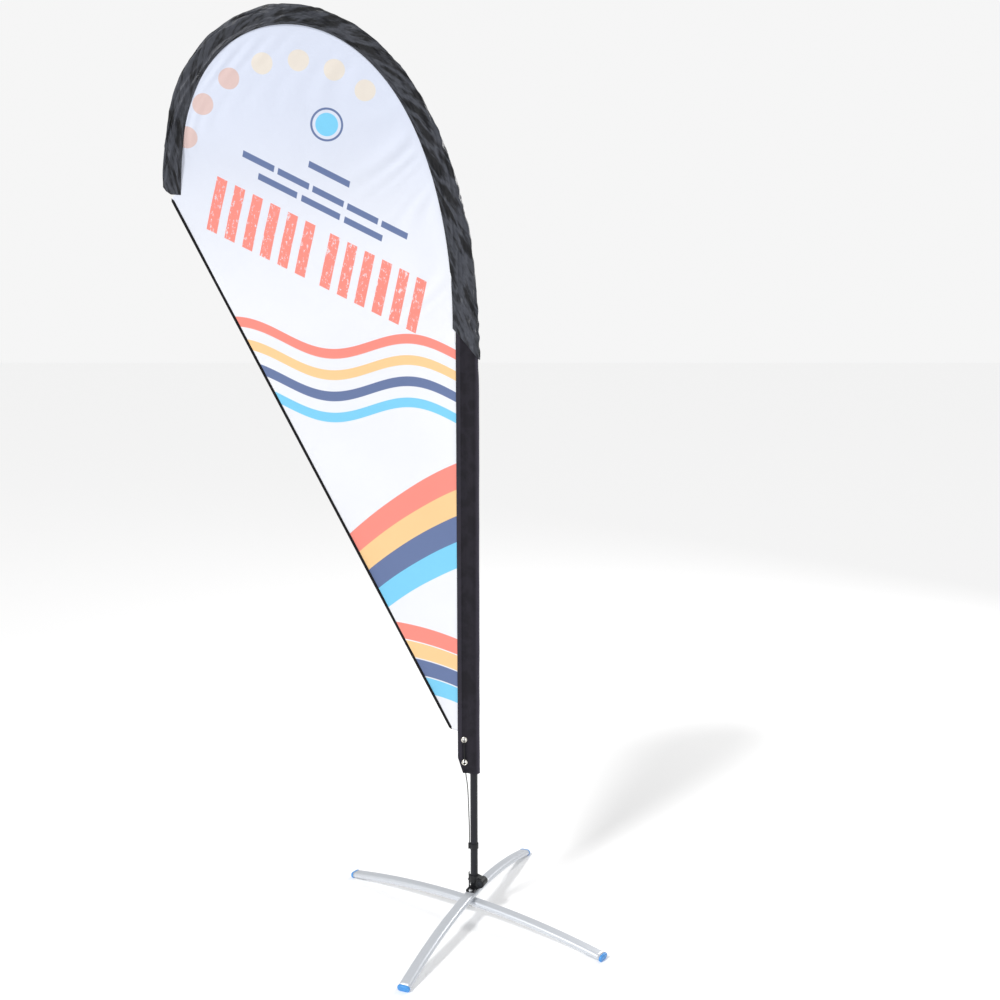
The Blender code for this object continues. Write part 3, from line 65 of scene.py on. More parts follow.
FRONT = np.array([0.0, -1.0, 0.0])
log = logging.getLogger("teardrop_flag")


class Body(str, Enum):
    """Bodies of the frame that new pieces ride on."""

    BASE = "base"
    LOWER_LEG = "lower_leg"
    POLE = "pole"


def srgb(red: int, green: int, blue: int) -> Colour:
    """Linear colour of an sRGB one given in 0 to 255, by the 2.4 power curve."""
    shares = [c / 255 for c in (red, green, blue)]
    return tuple(c / 12.92 if c <= 0.04045 else ((c + 0.055) / 1.055) ** 2.4 for c in shares)


def shade(colour: Colour, share: float, lift: float = 0.0) -> Colour:
    """A colour times a share, plus a lift, no brighter than white."""
    return tuple(min(1.0, c * share + lift) for c in colour)


# ---- shader maths

class Signal:
    """An output socket that Python's operators work on."""

    def __init__(self, shader: "Shader", socket: bpy.types.NodeSocket) -> None:
        """Wraps a socket of a shader's node."""
        self.shader = shader
        self.socket = socket

    def __add__(self, other: "Number") -> "Signal":
        """Sum."""
        return self.shader.math("ADD", self, other)

    __radd__ = __add__

    def __sub__(self, other: "Number") -> "Signal":
        """Difference."""
        return self.shader.math("SUBTRACT", self, other)

    def __rsub__(self, other: "Number") -> "Signal":
        """Difference from a number."""
        return self.shader.math("SUBTRACT", other, self)

    def __mul__(self, other: "Number") -> "Signal":
        """Product."""
        return self.shader.math("MULTIPLY", self, other)

    __rmul__ = __mul__

    def __truediv__(self, other: "Number") -> "Signal":
        """Quotient."""
        return self.shader.math("DIVIDE", self, other)

    def __neg__(self) -> "Signal":
        """Negative."""
        return self.shader.math("MULTIPLY", self, -1.0)


Number = Union[float, Signal]


class Shader:
    """The node tree of a material or of the world, written as expressions."""

    def __init__(self, holder: Union[bpy.types.Material, bpy.types.World],
                 output: str = "ShaderNodeOutputMaterial") -> None:
        """Clears the holder's tree and gives it its output node.

        Args:
            holder: the material or the world.
            output: the output node's type.
        """
        holder.use_nodes = True
        self.tree = holder.node_tree
        self.tree.nodes.clear()
        self.output = self.tree.nodes.new(output)

    def node(self, kind: str, settings: Optional[dict] = None, values: Optional[dict] = None) -> List[Signal]:
        """Adds a node.

        Args:
            kind: the node's type.
            settings: its own properties, and "stops" for a ramp's (place, colour) pairs.
            values: numbers, colours or signals for its inputs, by name or by number.

        Returns:
            One signal for each of its outputs.
        """
        made = self.tree.nodes.new(kind)
        for key, setting in (settings or {}).items():
            if key == "stops":
                elements = made.color_ramp.elements
                while len(elements) < len(setting):
                    elements.new(0.5)
                for element, (place, colour) in zip(elements, setting):
                    element.position = place
                    element.color = (*colour, 1.0)
            else:
                setattr(made, key, setting)
        for key, value in (values or {}).items():
            socket = made.inputs[key]
            if isinstance(value, Signal):
                self.tree.links.new(value.socket, socket)
            elif socket.type == "RGBA":
                socket.default_value = (*value, 1.0)
            else:
                socket.default_value = value
        return [Signal(self, out) for out in made.outputs]

    def math(self, operation: str, *values: Number) -> Signal:
        """A Math node of the given operation."""
        return self.node("ShaderNodeMath", {"operation": operation}, dict(enumerate(values)))[0]

    def sine(self, value: Number) -> Signal:
        """Sine of an angle in radians."""
        return self.math("SINE", value)

    def rise(self, value: Number, low: float, high: float) -> Signal:
        """0 below low, 1 above high and a smooth step between."""
        return self.node("ShaderNodeMapRange", {"interpolation_type": "SMOOTHSTEP"},
                         {"Value": value, "From Min": low, "From Max": high})[0]

    def above(self, value: Number, edge: Number, soft: float) -> Signal:
        """1 where a value is above an edge, softened over a width."""
        return self.rise(value - edge, -soft, soft)

    def within(self, value: Signal, low: Number, high: Number, soft: float) -> Signal:
        """1 between two edges, softened over a width."""
        return self.above(value, low, soft) * (1 - self.above(value, high, soft))

    def blend(self, share: Number, first: Union[Colour, Signal], second: Union[Colour, Signal]) -> Signal:
        """Colour mix from the first, at share 0, to the second, at share 1."""
        return self.node("ShaderNodeMix", {"data_type": "RGBA"}, {0: share, 6: first, 7: second})[2]

    def place(self, turn: float = 0.0, stretch: Tuple[float, float, float] = (1, 1, 1)) -> Signal:
        """Object coordinates for a pattern.

        Args:
            turn: angle about Z.
            stretch: scale along each turned axis.

        Returns:
            The place, as a vector.
        """
        here = self.node("ShaderNodeTexCoord")[3]
        if turn == 0.0 and tuple(stretch) == (1, 1, 1):
            return here
        turned = self.node("ShaderNodeMapping", None, {"Vector": here, "Rotation": (0, 0, turn)})[0]
        return self.node("ShaderNodeMapping", None, {"Vector": turned, "Scale": stretch})[0]

    def uv(self) -> List[Signal]:
        """The piece's own UV map, in metres, as its two signals."""
        return self.split(self.node("ShaderNodeTexCoord")[2])[:2]

    def split(self, vector: Signal) -> List[Signal]:
        """X, Y and Z of a vector."""
        return self.node("ShaderNodeSeparateXYZ", None, {0: vector})

    def noise(self, vector: Signal, scale: float, detail: float = 3.0, rough: float = 0.5) -> Signal:
        """Fractal noise of 0 to 1 at so many features a metre."""
        return self.node("ShaderNodeTexNoise", None,
                         {"Vector": vector, "Scale": scale, "Detail": detail, "Roughness": rough})[0]

    def ridges(self, vector: Signal, scale: float, detail: float, rough: float) -> Signal:
        """1 along the lines where a noise is halfway, falling on both sides of them."""
        return 1 - self.math("ABSOLUTE", self.noise(vector, scale, detail, rough) * 2 - 1)

    def bump(self, height: Signal, depth: float) -> Signal:
        """A normal from a height of 0 to 1 that stands for a depth in metres."""
        return self.node("ShaderNodeBump", None, {"Height": height, "Distance": depth})[0]

    def show(self, signal: Signal) -> None:
        """Gives a shader to the output."""
        self.tree.links.new(signal.socket, self.output.inputs["Surface"])

    def surface(self, **values: Union[float, Colour, Signal]) -> None:
        """The Principled shader, with its inputs named in lower case with underscores."""
        names = {"specular": "Specular IOR Level"}
        inputs = {names.get(k, k.replace("_", " ").title()): v for k, v in values.items()}
        self.show(self.node("ShaderNodeBsdfPrincipled", None, inputs)[0])


# ---- finishes

@dataclass(frozen=True)
class Finish:
    """A surface finish: its name, base colour and roughness."""

    name: str
    colour: Colour
    roughness: float = 0.5

    def paint(self, shader: Shader) -> None:
        """Fills a shader; each kind of finish has its own."""
        shader.surface(base_color=self.colour, roughness=self.roughness)

    def material(self) -> bpy.types.Material:
        """The finish's material, made once."""
        made = bpy.data.materials.get(self.name)
        if made is None:
            made = bpy.data.materials.new(self.name)
            self.paint(Shader(made))
        return made


class Weave(Enum):
    """How a cloth's threads cross."""

    PLAIN = "plain"
    KNIT = "knit"
    TWILL = "twill"


@dataclass(frozen=True)
class Cloth(Finish):
    """Cloth with threads, creases and painted highlights on its fold crests, on the piece's own UV map."""

    weave: Weave = Weave.PLAIN
    pitch: float = 0.8 * MM
    thread_depth: float = 0.12 * MM
    crease_depth: float = 1.0 * MM
    crease_scale: float = 30.0
    sheen: float = 0.15
    # share of the painted highlight on the fold crests
    crest_highlight: float = 0.35
    specular: float = 0.5
    # how many times the colour the painted crest highlight reaches
    crest: float = 2.0
    seam_at: float = 0.0
    drag: float = 0.0
    dust_scale: float = 260.0
    hem_edge: Tuple[float, float] = (11 * MM, 13 * MM)
    rim_edge: Tuple[float, float] = (48 * MM, 62 * MM)
    # how many times the colour the painted hem and rim highlight reaches
    hem_and_rim_highlight: float = 4.5

    def threads(self, shader: Shader) -> Signal:
        """Threads as crossed sines, stretched ones for knit and slanted ones for twill.

        Args:
            shader: the material's shader.

        Returns:
            Their height, about 0 to 1.
        """
        u, v = shader.uv()
        pace = 2 * pi / self.pitch
        if self.weave is Weave.KNIT:
            lean = shader.sine(u * pace) * 0.9
            return shader.math("ABSOLUTE", shader.sine(v * (pace * 0.5) + lean)) * 0.6 \
                + shader.sine(u * pace) * 0.4
        if self.weave is Weave.TWILL:
            return shader.sine((u + v) * pace) * 0.5 + shader.sine(v * (pace * 2)) * 0.25 + 0.5
        return shader.sine(u * pace) * shader.sine(v * pace) * 0.5 + 0.5

    def relief(self, shader: Shader, crease: Signal, threads: Signal) -> Signal:
        """The normal of creases and threads, each at its own depth."""
        return shader.bump(crease * (self.crease_depth / MM) + threads * (self.thread_depth / MM), MM)

    def paint(self, shader: Shader) -> None:
        """Threads and creases as bump, painted highlights that lighten the fold crests, uneven gloss.

        With a drag, the creases run slanted along the sleeve's UV map. With seam_at, the cloth gets a painted
        highlight on the doubled hem beside its seam and on its outer rim, both measured round it.

        Args:
            shader: the material's shader.
        """
        here = shader.place()
        threads = self.threads(shader)
        where = here
        if self.drag:
            u, v = shader.uv()
            where = shader.node("ShaderNodeCombineXYZ", None, {0: u + v * self.drag, 1: v * 0.22})[0]
        crease = shader.ridges(where, self.crease_scale, 4.0, 0.6)
        dust = shader.noise(here, self.dust_scale, 3.0, 0.6)
        # Painted highlight: fold crests are lightened towards crest times the colour, with a random dust tone
        # mixed in.
        tone = shader.blend(shader.rise(crease, 0.76, 1.0) * self.crest_highlight + dust * 0.12,
                            shade(self.colour, 0.75), shade(self.colour, self.crest))
        # Painted highlight: lighter on the doubled hem beside the seam and on the outer rim over the pole.
        if self.seam_at:
            away = shader.math("ABSOLUTE", shader.uv()[0] - self.seam_at)
            share = (1 - shader.rise(away, *self.hem_edge)) * 0.3 + shader.rise(away, *self.rim_edge) * 0.9
            tone = shader.blend(share, tone, shade(self.colour, self.hem_and_rim_highlight))
        shader.surface(base_color=tone, roughness=self.roughness + dust * 0.12 - threads * 0.05,
                       specular=self.specular, sheen_weight=self.sheen, sheen_roughness=0.4,
                       normal=self.relief(shader, crease, threads))


@dataclass(frozen=True)
class Metal(Finish):
    """Metal with drawn or turned streaks, fine scratches and handling marks."""

    metallic: float = 1.0
    turn: float = 0.0
    stretch: Tuple[float, float, float] = (1.0, 1.0, 1.0)
    streak: float = 0.10
    wear: float = 0.15
    streak_scale: float = 900.0
    scratch_scale: float = 260.0
    mark_scale: float = 45.0

    def paint(self, shader: Shader) -> None:
        """Streaks vary the roughness and a fine bump; marks dull the colour a little.

        Args:
            shader: the material's shader.
        """
        along = shader.place(self.turn, self.stretch)
        streaks = shader.noise(along, self.streak_scale, 3.0, 0.6)
        marks = shader.noise(shader.place(), self.mark_scale, 5.0, 0.65)
        scratch = shader.rise(shader.noise(along, self.scratch_scale, 5.0, 0.75), 0.62, 0.70)
        tone = shader.blend(marks * self.wear + scratch * 0.25, self.colour, shade(self.colour, 0.72))
        shader.surface(base_color=tone, metallic=self.metallic,
                       roughness=self.roughness + streaks * self.streak + marks * 0.08 - 0.05,
                       normal=shader.bump(streaks * 0.5 + scratch * 0.5, 0.03 * MM))


@dataclass(frozen=True)
class Moulded(Finish):
    """Moulded plastic, rubber or painted metal: fine grain, scuffs and dust."""

    grain: float = 0.05 * MM
    grain_scale: float = 1500.0
    scuff: float = 0.25
    coat: float = 0.0
    subsurface: float = 0.0
    specular: float = 0.5
    patch_scale: float = 60.0
    scuff_scale: float = 420.0

    def paint(self, shader: Shader) -> None:
        """Grain as bump, pale dust in patches and scuffs that dull the gloss.

        Args:
            shader: the material's shader.
        """
        here = shader.place()
        grain = shader.noise(here, self.grain_scale, 2.0, 0.5)
        patch = shader.noise(here, self.patch_scale, 4.0, 0.6)
        drawn = shader.place(0.5, (1, 1, 0.15))
        scuffs = shader.rise(shader.noise(drawn, self.scuff_scale, 4.0, 0.7), 0.60, 0.72)
        pale = shade(self.colour, 1.3, 0.004)
        tone = shader.blend(patch * self.scuff + scuffs * self.scuff, self.colour, pale)
        shader.surface(base_color=tone, roughness=self.roughness + patch * 0.14 + scuffs * 0.12 - 0.07,
                       coat_weight=self.coat, coat_roughness=0.15, subsurface_weight=self.subsurface,
                       specular=self.specular, normal=shader.bump(grain, self.grain))


@dataclass(frozen=True)
class Braid(Finish):
    """Braided elastic cord: two spirals of strands on the cord's own UV map."""

    around: float = 7.85 * MM
    pitch: float = 5.0 * MM
    strands: int = 4
    fleck_scale: float = 1400.0

    def paint(self, shader: Shader) -> None:
        """Strands are sines along both slants; the higher slant shows, flecked with grey.

        Args:
            shader: the material's shader.
        """
        u, v = shader.uv()
        left = shader.sine((u * (self.strands / self.around) + v / self.pitch) * (2 * pi))
        right = shader.sine((u * (self.strands / self.around) - v / self.pitch) * (2 * pi))
        height = shader.math("MAXIMUM", left, right) * 0.5 + 0.5
        fleck = shader.rise(shader.noise(shader.place(), self.fleck_scale, 2.0, 0.6), 0.56, 0.66)
        tone = shader.blend(fleck * 0.5 + height * 0.3, self.colour, shade(self.colour, 3.5, 0.01))
        shader.surface(base_color=tone, roughness=self.roughness, sheen_weight=0.05, specular=0.3,
                       normal=shader.bump(height, 0.25 * MM))


PRINT_EDGE = 0.7 * MM               # half of a printed edge's softness
CORAL = srgb(246, 136, 121)
AMBER = srgb(249, 205, 143)
NAVY = srgb(88, 109, 156)
SKY = srgb(116, 206, 244)
PEACH = srgb(220, 191, 185)
CREAM = srgb(230, 221, 209)
PAPER = srgb(240, 242, 248)
# painted shade of the flag's upper part
PAINTED_TOP_SHADE = srgb(208, 216, 236)
LEG_GREY = srgb(216, 220, 226)


@dataclass(frozen=True)
class Ribbons:
    """Evenly spaced printed ribbons of one shape, one under the other.

    The first one's middle is at z = height + slope*s + bow*s*s + swing*sin(pace*s), where s is the
    distance left of the sleeve's seam, and each next one lies a pitch lower.
    """

    height: float
    pitch: float
    half: float
    slope: float = 0.0
    bow: float = 0.0
    swing: float = 0.0
    pace: float = 1.0

    def layers(self, shader: Shader, s: Signal, z: Signal) -> List[Tuple[Signal, Colour]]:
        """The four ribbons.

        Args:
            shader: the material's shader.
            s: distance left of the sleeve's seam.
            z: height.

        Returns:
            A mask and a colour for each.
        """
        line = s * self.slope + s * s * self.bow + shader.sine(s * self.pace) * self.swing + self.height
        below = line - z
        middles = [(n * self.pitch, colour) for n, colour in enumerate((CORAL, AMBER, NAVY, SKY))]
        return [(shader.within(below, at - self.half, at + self.half, PRINT_EDGE), colour)
                for at, colour in middles]


@dataclass(frozen=True)
class Print(Cloth):
    """White flag cloth with a plain printed pattern: ribbons, rows of bars, dots and a round badge.

    It reads x from the pole's axis and z from the ground, and prints through to the back.
    """

    axis_x: float = 0.0
    seam: float = -0.040
    slant: float = radians(-26.5)
    lean: float = radians(13.0)
    ribbons: Tuple[Ribbons, ...] = (
        Ribbons(1.450, 0.052, 12 * MM, 0.10, 0.0, 0.028, 15.0),
        Ribbons(1.150, 0.066, 33.5 * MM, -0.42, -0.9),
        Ribbons(0.715, 0.043, 20 * MM, 0.42, -0.8),
    )
    heading_rows: Tuple[Tuple[float, float, float], ...] = ((-0.640, 1.752, 0.272), (-0.372, 1.618, 0.262))
    text_rows: Tuple[Tuple[float, float, float, float], ...] = (
        (-0.392, 1.897, 0.108, 0.20), (-0.548, 1.921, 0.436, 0.0915), (-0.514, 1.869, 0.330, 0.114))
    heading_bar: Tuple[float, float, float] = (0.128, 0.0467, 0.42)
    text_bar: Tuple[float, float] = (0.015, 0.10)
    badge: Tuple[float, float] = (-0.345, 1.995)
    badge_edges: Tuple[float, float, float] = (27 * MM, 34 * MM, 39 * MM)
    arc: Tuple[float, float] = (-0.430, 1.880)
    arc_radius: float = 0.262
    arc_steps: int = 19
    dot: float = 25 * MM
    ink: float = 0.96

    def bars(self, shader: Shader, x: Signal, z: Signal, corner: Tuple[float, float], length: float,
             height: float, pitch: float, gap: float) -> Signal:
        """A slanted row of plain bars.

        The place along and up the row comes from its low left corner, by the inverse of the
        row's two directions.

        Args:
            shader: the shader that the row is drawn in.
            x, z: the place.
            corner: the row's low left corner.
            length, height: the row's size along its two directions.
            pitch: from one bar to the next.
            gap: share of each pitch that is left white.

        Returns:
            1 on the bars and 0 beside them.
        """
        ax, az, bx, bz = cos(self.slant), sin(self.slant), sin(self.lean), cos(self.lean)
        size = ax * bz - bx * az
        dx, dz = x - corner[0], z - corner[1]
        p, q = dx * (bz / size) - dz * (bx / size), dz * (ax / size) - dx * (az / size)
        cell = shader.math("FRACT", p * (1 / pitch))
        row = shader.within(p, 0.0, length, PRINT_EDGE) * shader.within(q, 0.0, height, PRINT_EDGE)
        soft = PRINT_EDGE / pitch
        return row * (1 - shader.above(cell, 1 - gap, soft)) * shader.rise(cell, 0.0, soft)

    def polar(self, shader: Shader, x: Signal, z: Signal,
              centre: Tuple[float, float]) -> Tuple[Signal, Signal]:
        """Distance from a centre, and the angle round it from the right."""
        dx, dz = x - centre[0], z - centre[1]
        return shader.math("SQRT", dx * dx + dz * dz), shader.math("ARCTAN2", dz, dx)

    def dots(self, shader: Shader, x: Signal, z: Signal, first: int, last: int) -> Signal:
        """Round dots on an arc: each angle step holds one, measured from the step's middle.

        Args:
            shader: the shader that the dots are drawn in.
            x, z: the place.
            first, last: the steps that hold a dot, counted from the right.

        Returns:
            1 on the dots and 0 beside them.
        """
        away, angle = self.polar(shader, x, z, self.arc)
        steps = angle * (self.arc_steps / (2 * pi))
        aside = (shader.math("FRACT", steps) - 0.5) * (2 * pi * self.arc_radius / self.arc_steps)
        off = away - self.arc_radius
        inside = 1 - shader.above(shader.math("SQRT", aside * aside + off * off), self.dot, PRINT_EDGE)
        cell = shader.math("FLOOR", steps)
        return inside * shader.within(cell, first - 0.5, last + 0.5, 0.1)

    def layers(self, shader: Shader, x: Signal, z: Signal) -> List[Tuple[Signal, Colour]]:
        """Every printed layer, from the lowest.

        Args:
            shader: the material's shader.
            x, z: the place, as in the class.

        Returns:
            A mask and a colour for each.
        """
        made = [(self.dots(shader, x, z, 6, 8), PEACH), (self.dots(shader, x, z, 2, 5), CREAM)]
        for family in self.ribbons:
            made += family.layers(shader, self.seam - x, z)
        away, _ = self.polar(shader, x, z, self.badge)
        disc, inner, outer = self.badge_edges
        made += [(1 - shader.above(away, disc, PRINT_EDGE), SKY),
                 (shader.within(away, inner, outer, PRINT_EDGE), NAVY)]
        flecks = shader.rise(shader.noise(shader.place(0.0, (1, 1, 0.5)), 150.0, 6.0, 0.75), 0.56, 0.60)
        for left, low, length in self.heading_rows:
            row = self.bars(shader, x, z, (left, low), length, *self.heading_bar)
            made.append((row * (1 - flecks * 0.75), CORAL))
        height, gap = self.text_bar
        for left, low, length, pitch in self.text_rows:
            made.append((self.bars(shader, x, z, (left, low), length, height, pitch, gap), NAVY))
        return made

    def paint(self, shader: Shader) -> None:
        """White cloth with painted shade that greys it towards the top, the printed layers over it, then
        threads and creases.

        Args:
            shader: the material's shader.
        """
        here = shader.place()
        world_x, _, z = shader.split(here)
        x = world_x - self.axis_x
        tone = shader.blend(shader.noise(here, 9.0, 3.0, 0.5) * 0.5, self.colour, shade(self.colour, 0.93))
        # Painted shade: the cloth turns greyer and bluer towards the top of the arch.
        tone = shader.blend(shader.rise(z, 1.50, 2.12) * 0.8, tone, PAINTED_TOP_SHADE)
        for mask, colour in self.layers(shader, x, z):
            tone = shader.blend(mask * self.ink, tone, colour)
        threads = self.threads(shader)
        crumple = shader.ridges(here, self.crease_scale, 3.0, 0.55)
        shader.surface(base_color=tone, roughness=self.roughness + threads * 0.05, sheen_weight=self.sheen,
                       sheen_roughness=0.5, normal=self.relief(shader, crumple, threads))


# ---- surfaces

def together(*parts: Union[Array, float]) -> Array:
    """Places from their parts, which are first stretched to one shape."""
    return np.stack(np.broadcast_arrays(*parts), axis=-1)


def unit(vectors: Array) -> Array:
    """The same directions at length 1."""
    return vectors / np.linalg.norm(vectors, axis=-1, keepdims=True)


def summed(steps: Array) -> Array:
    """Running sum of steps, from 0."""
    return np.concatenate([[0], np.cumsum(steps)])


def run_along(path: Array) -> Array:
    """Length along a path up to each of its points."""
    return summed(np.linalg.norm(np.diff(path, axis=0), axis=1))


def sample(at: Array, run: Array, line: Array) -> Array:
    """Places at some lengths along a line, straight between its points."""
    return np.stack([np.interp(at, run, column) for column in line.T], axis=-1)


def soft_step(value: Array, low: float, high: float) -> Array:
    """0 below low, 1 above high and a smooth step between."""
    t = np.clip((value - low) / (high - low), 0, 1)
    return t * t * (3 - 2 * t)


def bell(value: Array, middle: float, width: float) -> Array:
    """1 at the middle, and exp(-(distance / width)**2) beside it."""
    return np.exp(-((value - middle) / width) ** 2)


def quads(rows: int, columns: int, around: bool) -> Array:
    """Corner numbers of a grid's faces, row by row.

    Args:
        rows, columns: the grid's size.
        around: whether the last column joins the first.

    Returns:
        (faces, 4) point numbers.
    """
    i, j = np.meshgrid(np.arange(rows - 1), np.arange(columns if around else columns - 1), indexing="ij")
    k = (j + 1) % columns
    low, high = i * columns, (i + 1) * columns
    return np.stack([low + j, low + k, high + k, high + j], axis=-1).reshape(-1, 4)


def signed_volume(points: Array, faces: Array) -> float:
    """Volume inside a surface, summed as pyramids from its middle.

    Args:
        points: its places.
        faces: (m, 4) point numbers.

    Returns:
        More than 0 when the faces point outwards.
    """
    p = points - points.mean(axis=0)
    a, b, c, d = (p[faces[:, n]] for n in range(4))
    return float((np.cross(a, b) * c).sum() + (np.cross(a, c) * d).sum())


def new_mesh(name: str, points: Array, faces: Array, uv: Optional[Array] = None) -> bpy.types.Object:
    """An object from point and corner arrays.

    Args:
        name: the piece's name.
        points: (n, 3) places.
        faces: (m, 3 or 4) corner numbers.
        uv: (m, corners, 2) places on the cloth, in metres.

    Returns:
        The object, linked, smooth shaded.
    """
    mesh = bpy.data.meshes.new(name)
    mesh.vertices.add(len(points))
    mesh.vertices.foreach_set("co", np.ascontiguousarray(points, dtype=np.float32).ravel())
    mesh.loops.add(faces.size)
    mesh.loops.foreach_set("vertex_index", np.ascontiguousarray(faces, dtype=np.int32).ravel())
    mesh.polygons.add(len(faces))
    mesh.polygons.foreach_set("loop_start", np.arange(0, faces.size, faces.shape[1], dtype=np.int32))
    mesh.update(calc_edges=True)
    if uv is not None:
        layer = mesh.uv_layers.new(name="UVMap")
        layer.data.foreach_set("uv", np.ascontiguousarray(uv, dtype=np.float32).ravel())
    mesh.validate()
    mesh.shade_smooth()
    obj = bpy.data.objects.new(name, mesh)
    bpy.context.scene.collection.objects.link(obj)
    return obj


def skin(name: str, points: Array, around: bool = False, uv: Optional[Array] = None,
         keep: Optional[Callable[[Array, Array], Array]] = None) -> bpy.types.Object:
    """A surface over a (rows, columns, 3) grid, turned to face outwards when it closes round.

    Args:
        name: the piece's name.
        points: places on the grid.
        around: whether the last column joins the first.
        uv: (rows, columns + 1 if around else columns, 2) places on the cloth.
        keep: says from points and faces which faces stay; the others are holes.

    Returns:
        The piece.
    """
    rows, columns = points.shape[:2]
    flat = points.reshape(-1, 3)
    faces = quads(rows, columns, around)
    corner_uv = None
    if uv is not None:
        wide = quads(rows, uv.shape[1], False)
        corner_uv = uv.reshape(-1, 2)[wide]
    if around and signed_volume(flat, faces) < 0:
        faces = faces[:, ::-1]
        corner_uv = None if corner_uv is None else corner_uv[:, ::-1]
    if keep is not None:
        stay = keep(flat, faces)
        faces = faces[stay]
        corner_uv = None if corner_uv is None else corner_uv[stay]
    return new_mesh(name, flat, faces, corner_uv)


def modify(obj: bpy.types.Object, kind: str, **settings: object) -> None:
    """Adds a modifier with its settings."""
    modifier = obj.modifiers.new(kind.lower(), kind)
    for key, value in settings.items():
        setattr(modifier, key, value)


def settle(obj: bpy.types.Object) -> None:
    """Replaces an object's mesh with what its modifiers make of it."""
    bpy.context.view_layer.update()
    made = bpy.data.meshes.new_from_object(obj.evaluated_get(bpy.context.evaluated_depsgraph_get()))
    obj.modifiers.clear()
    obj.data = made
    made.shade_smooth()


def shell(obj: bpy.types.Object, thickness: float, offset: float = -1.0) -> None:
    """Gives a surface its wall."""
    modify(obj, "SOLIDIFY", thickness=thickness, offset=offset, use_even_offset=False, use_rim=True)
    settle(obj)


def weld(obj: bpy.types.Object) -> None:
    """Joins the points of closed poles."""
    modify(obj, "WELD", merge_threshold=0.00002)
    settle(obj)


def turned(name: str, profile: Sequence[Tuple[float, float]], steps: int, centre: Array,
           axis: Array) -> bpy.types.Object:
    """A (radius, height) profile carried round an axis; radius 0 closes to a pole.

    Args:
        name: the piece's name.
        profile: radius and height along the axis.
        steps: columns round it.
        centre: where height 0 is.
        axis: unit direction of the height.

    Returns:
        The closed piece.
    """
    side = unit(np.cross(axis, UP if abs(axis[2]) < 0.9 else (1, 0, 0)))
    other = np.cross(axis, side)
    radius, height = np.array(profile).T
    angle = np.linspace(0, 2 * pi, steps, endpoint=False)
    ring = np.cos(angle)[:, None] * side + np.sin(angle)[:, None] * other
    points = centre + radius[:, None, None] * ring[None] + height[:, None, None] * axis
    obj = skin(name, points, around=True)
    weld(obj)
    return obj


def tube(name: str, path: Array, radius: float, steps: int = 12, closed: bool = False) -> bpy.types.Object:
    """A round tube along a path, its ends closed to poles.

    Each ring stands across the path's direction, on a side that is carried along from the
    last ring so that it doesn't twist.

    Args:
        name: the piece's name.
        path: places along its middle.
        radius: its own radius.
        steps: points in a ring.
        closed: whether the path's end joins its start.

    Returns:
        The closed piece, with a UV map in metres.
    """
    step = np.roll(path, -1, axis=0) - np.roll(path, 1, axis=0) if closed else np.gradient(path, axis=0)
    ahead = unit(step)
    side = np.empty_like(path)
    last = np.cross(ahead[0], (0.3, 1.0, 0.2))
    for i, direction in enumerate(ahead):
        last = last - direction * np.dot(last, direction)
        last /= np.linalg.norm(last)
        side[i] = last
    other = np.cross(ahead, side)
    angle = np.linspace(0, 2 * pi, steps, endpoint=False)
    rings = path[:, None] + radius * (np.cos(angle)[None, :, None] * side[:, None]
                                      + np.sin(angle)[None, :, None] * other[:, None])
    run = run_along(path)
    if closed:
        rings = np.concatenate([rings, rings[:1]])
        run = np.append(run, run[-1])
    else:
        first, final = np.repeat(path[:1, None], steps, axis=1), np.repeat(path[-1:, None], steps, axis=1)
        rings = np.concatenate([first, rings, final])
        run = np.concatenate([[0], run, [run[-1]]])
    u = np.linspace(0, 2 * pi * radius, steps + 1)
    obj = skin(name, rings, around=True, uv=together(u[None], run[:, None]))
    weld(obj)
    return obj


def smooth_path(points: Array, count: int) -> Array:
    """Evenly spaced places on a Catmull-Rom curve, the cubic whose slope at a point joins its neighbours.

    Args:
        points: places that the curve goes through.
        count: how many places to give.

    Returns:
        (count, 3) places.
    """
    p = np.vstack([2 * points[0] - points[1], points, 2 * points[-1] - points[-2]])
    t = np.linspace(0, 1, 24, endpoint=False)[:, None]
    a, b, c, d = (p[n:len(p) - 3 + n, None] for n in range(4))
    fine = 0.5 * (2 * b + (c - a) * t + (2 * a - 5 * b + 4 * c - d) * t ** 2
                  + (3 * b - a - 3 * c + d) * t ** 3)
    fine = np.vstack([fine.reshape(-1, 3), points[-1]])
    run = run_along(fine)
    return sample(np.linspace(0, run[-1], count), run, fine)


def stitches(name: str, rows: Sequence[Tuple[Array, Array]], pitch: float = 3.6 * MM, long: float = 2.6 * MM,
             thick: float = 0.55 * MM) -> bpy.types.Object:
    """Rows of sewn stitches, each a small pointed capsule of eight faces.

    Args:
        name: the piece's name.
        rows: (path, outward direction for each of its points) pairs.
        pitch: from one stitch to the next.
        long: a stitch's length.
        thick: a stitch's thickness.

    Returns:
        One object of all the stitches.
    """
    points, faces, count = [], [], 0
    shape = np.array([(0, 2), (2, 1), (1, 3), (3, 0)])
    ends = ((shape, 4), (shape[:, ::-1], 5))
    low = np.concatenate([np.column_stack([ring, np.full(4, tip)]) for ring, tip in ends])
    for path, out in rows:
        run = run_along(path)
        at = np.arange(pitch / 2, run[-1] - pitch / 2, pitch)
        centre, up = sample(at, run, path), unit(sample(at, run, out))
        ahead = unit(sample(at + 0.5 * MM, run, path) - centre)
        side = np.cross(ahead, up)
        tips = np.stack([centre + ahead * long / 2, centre - ahead * long / 2, centre + side * thick / 2,
                         centre - side * thick / 2, centre + up * thick / 2, centre - up * thick / 2], axis=1)
        points.append(tips.reshape(-1, 3))
        base = count + 6 * np.arange(len(at))
        faces.append((base[:, None, None] + low[None]).reshape(-1, 3))
        count += 6 * len(at)
    return new_mesh(name, np.concatenate(points), np.concatenate(faces))


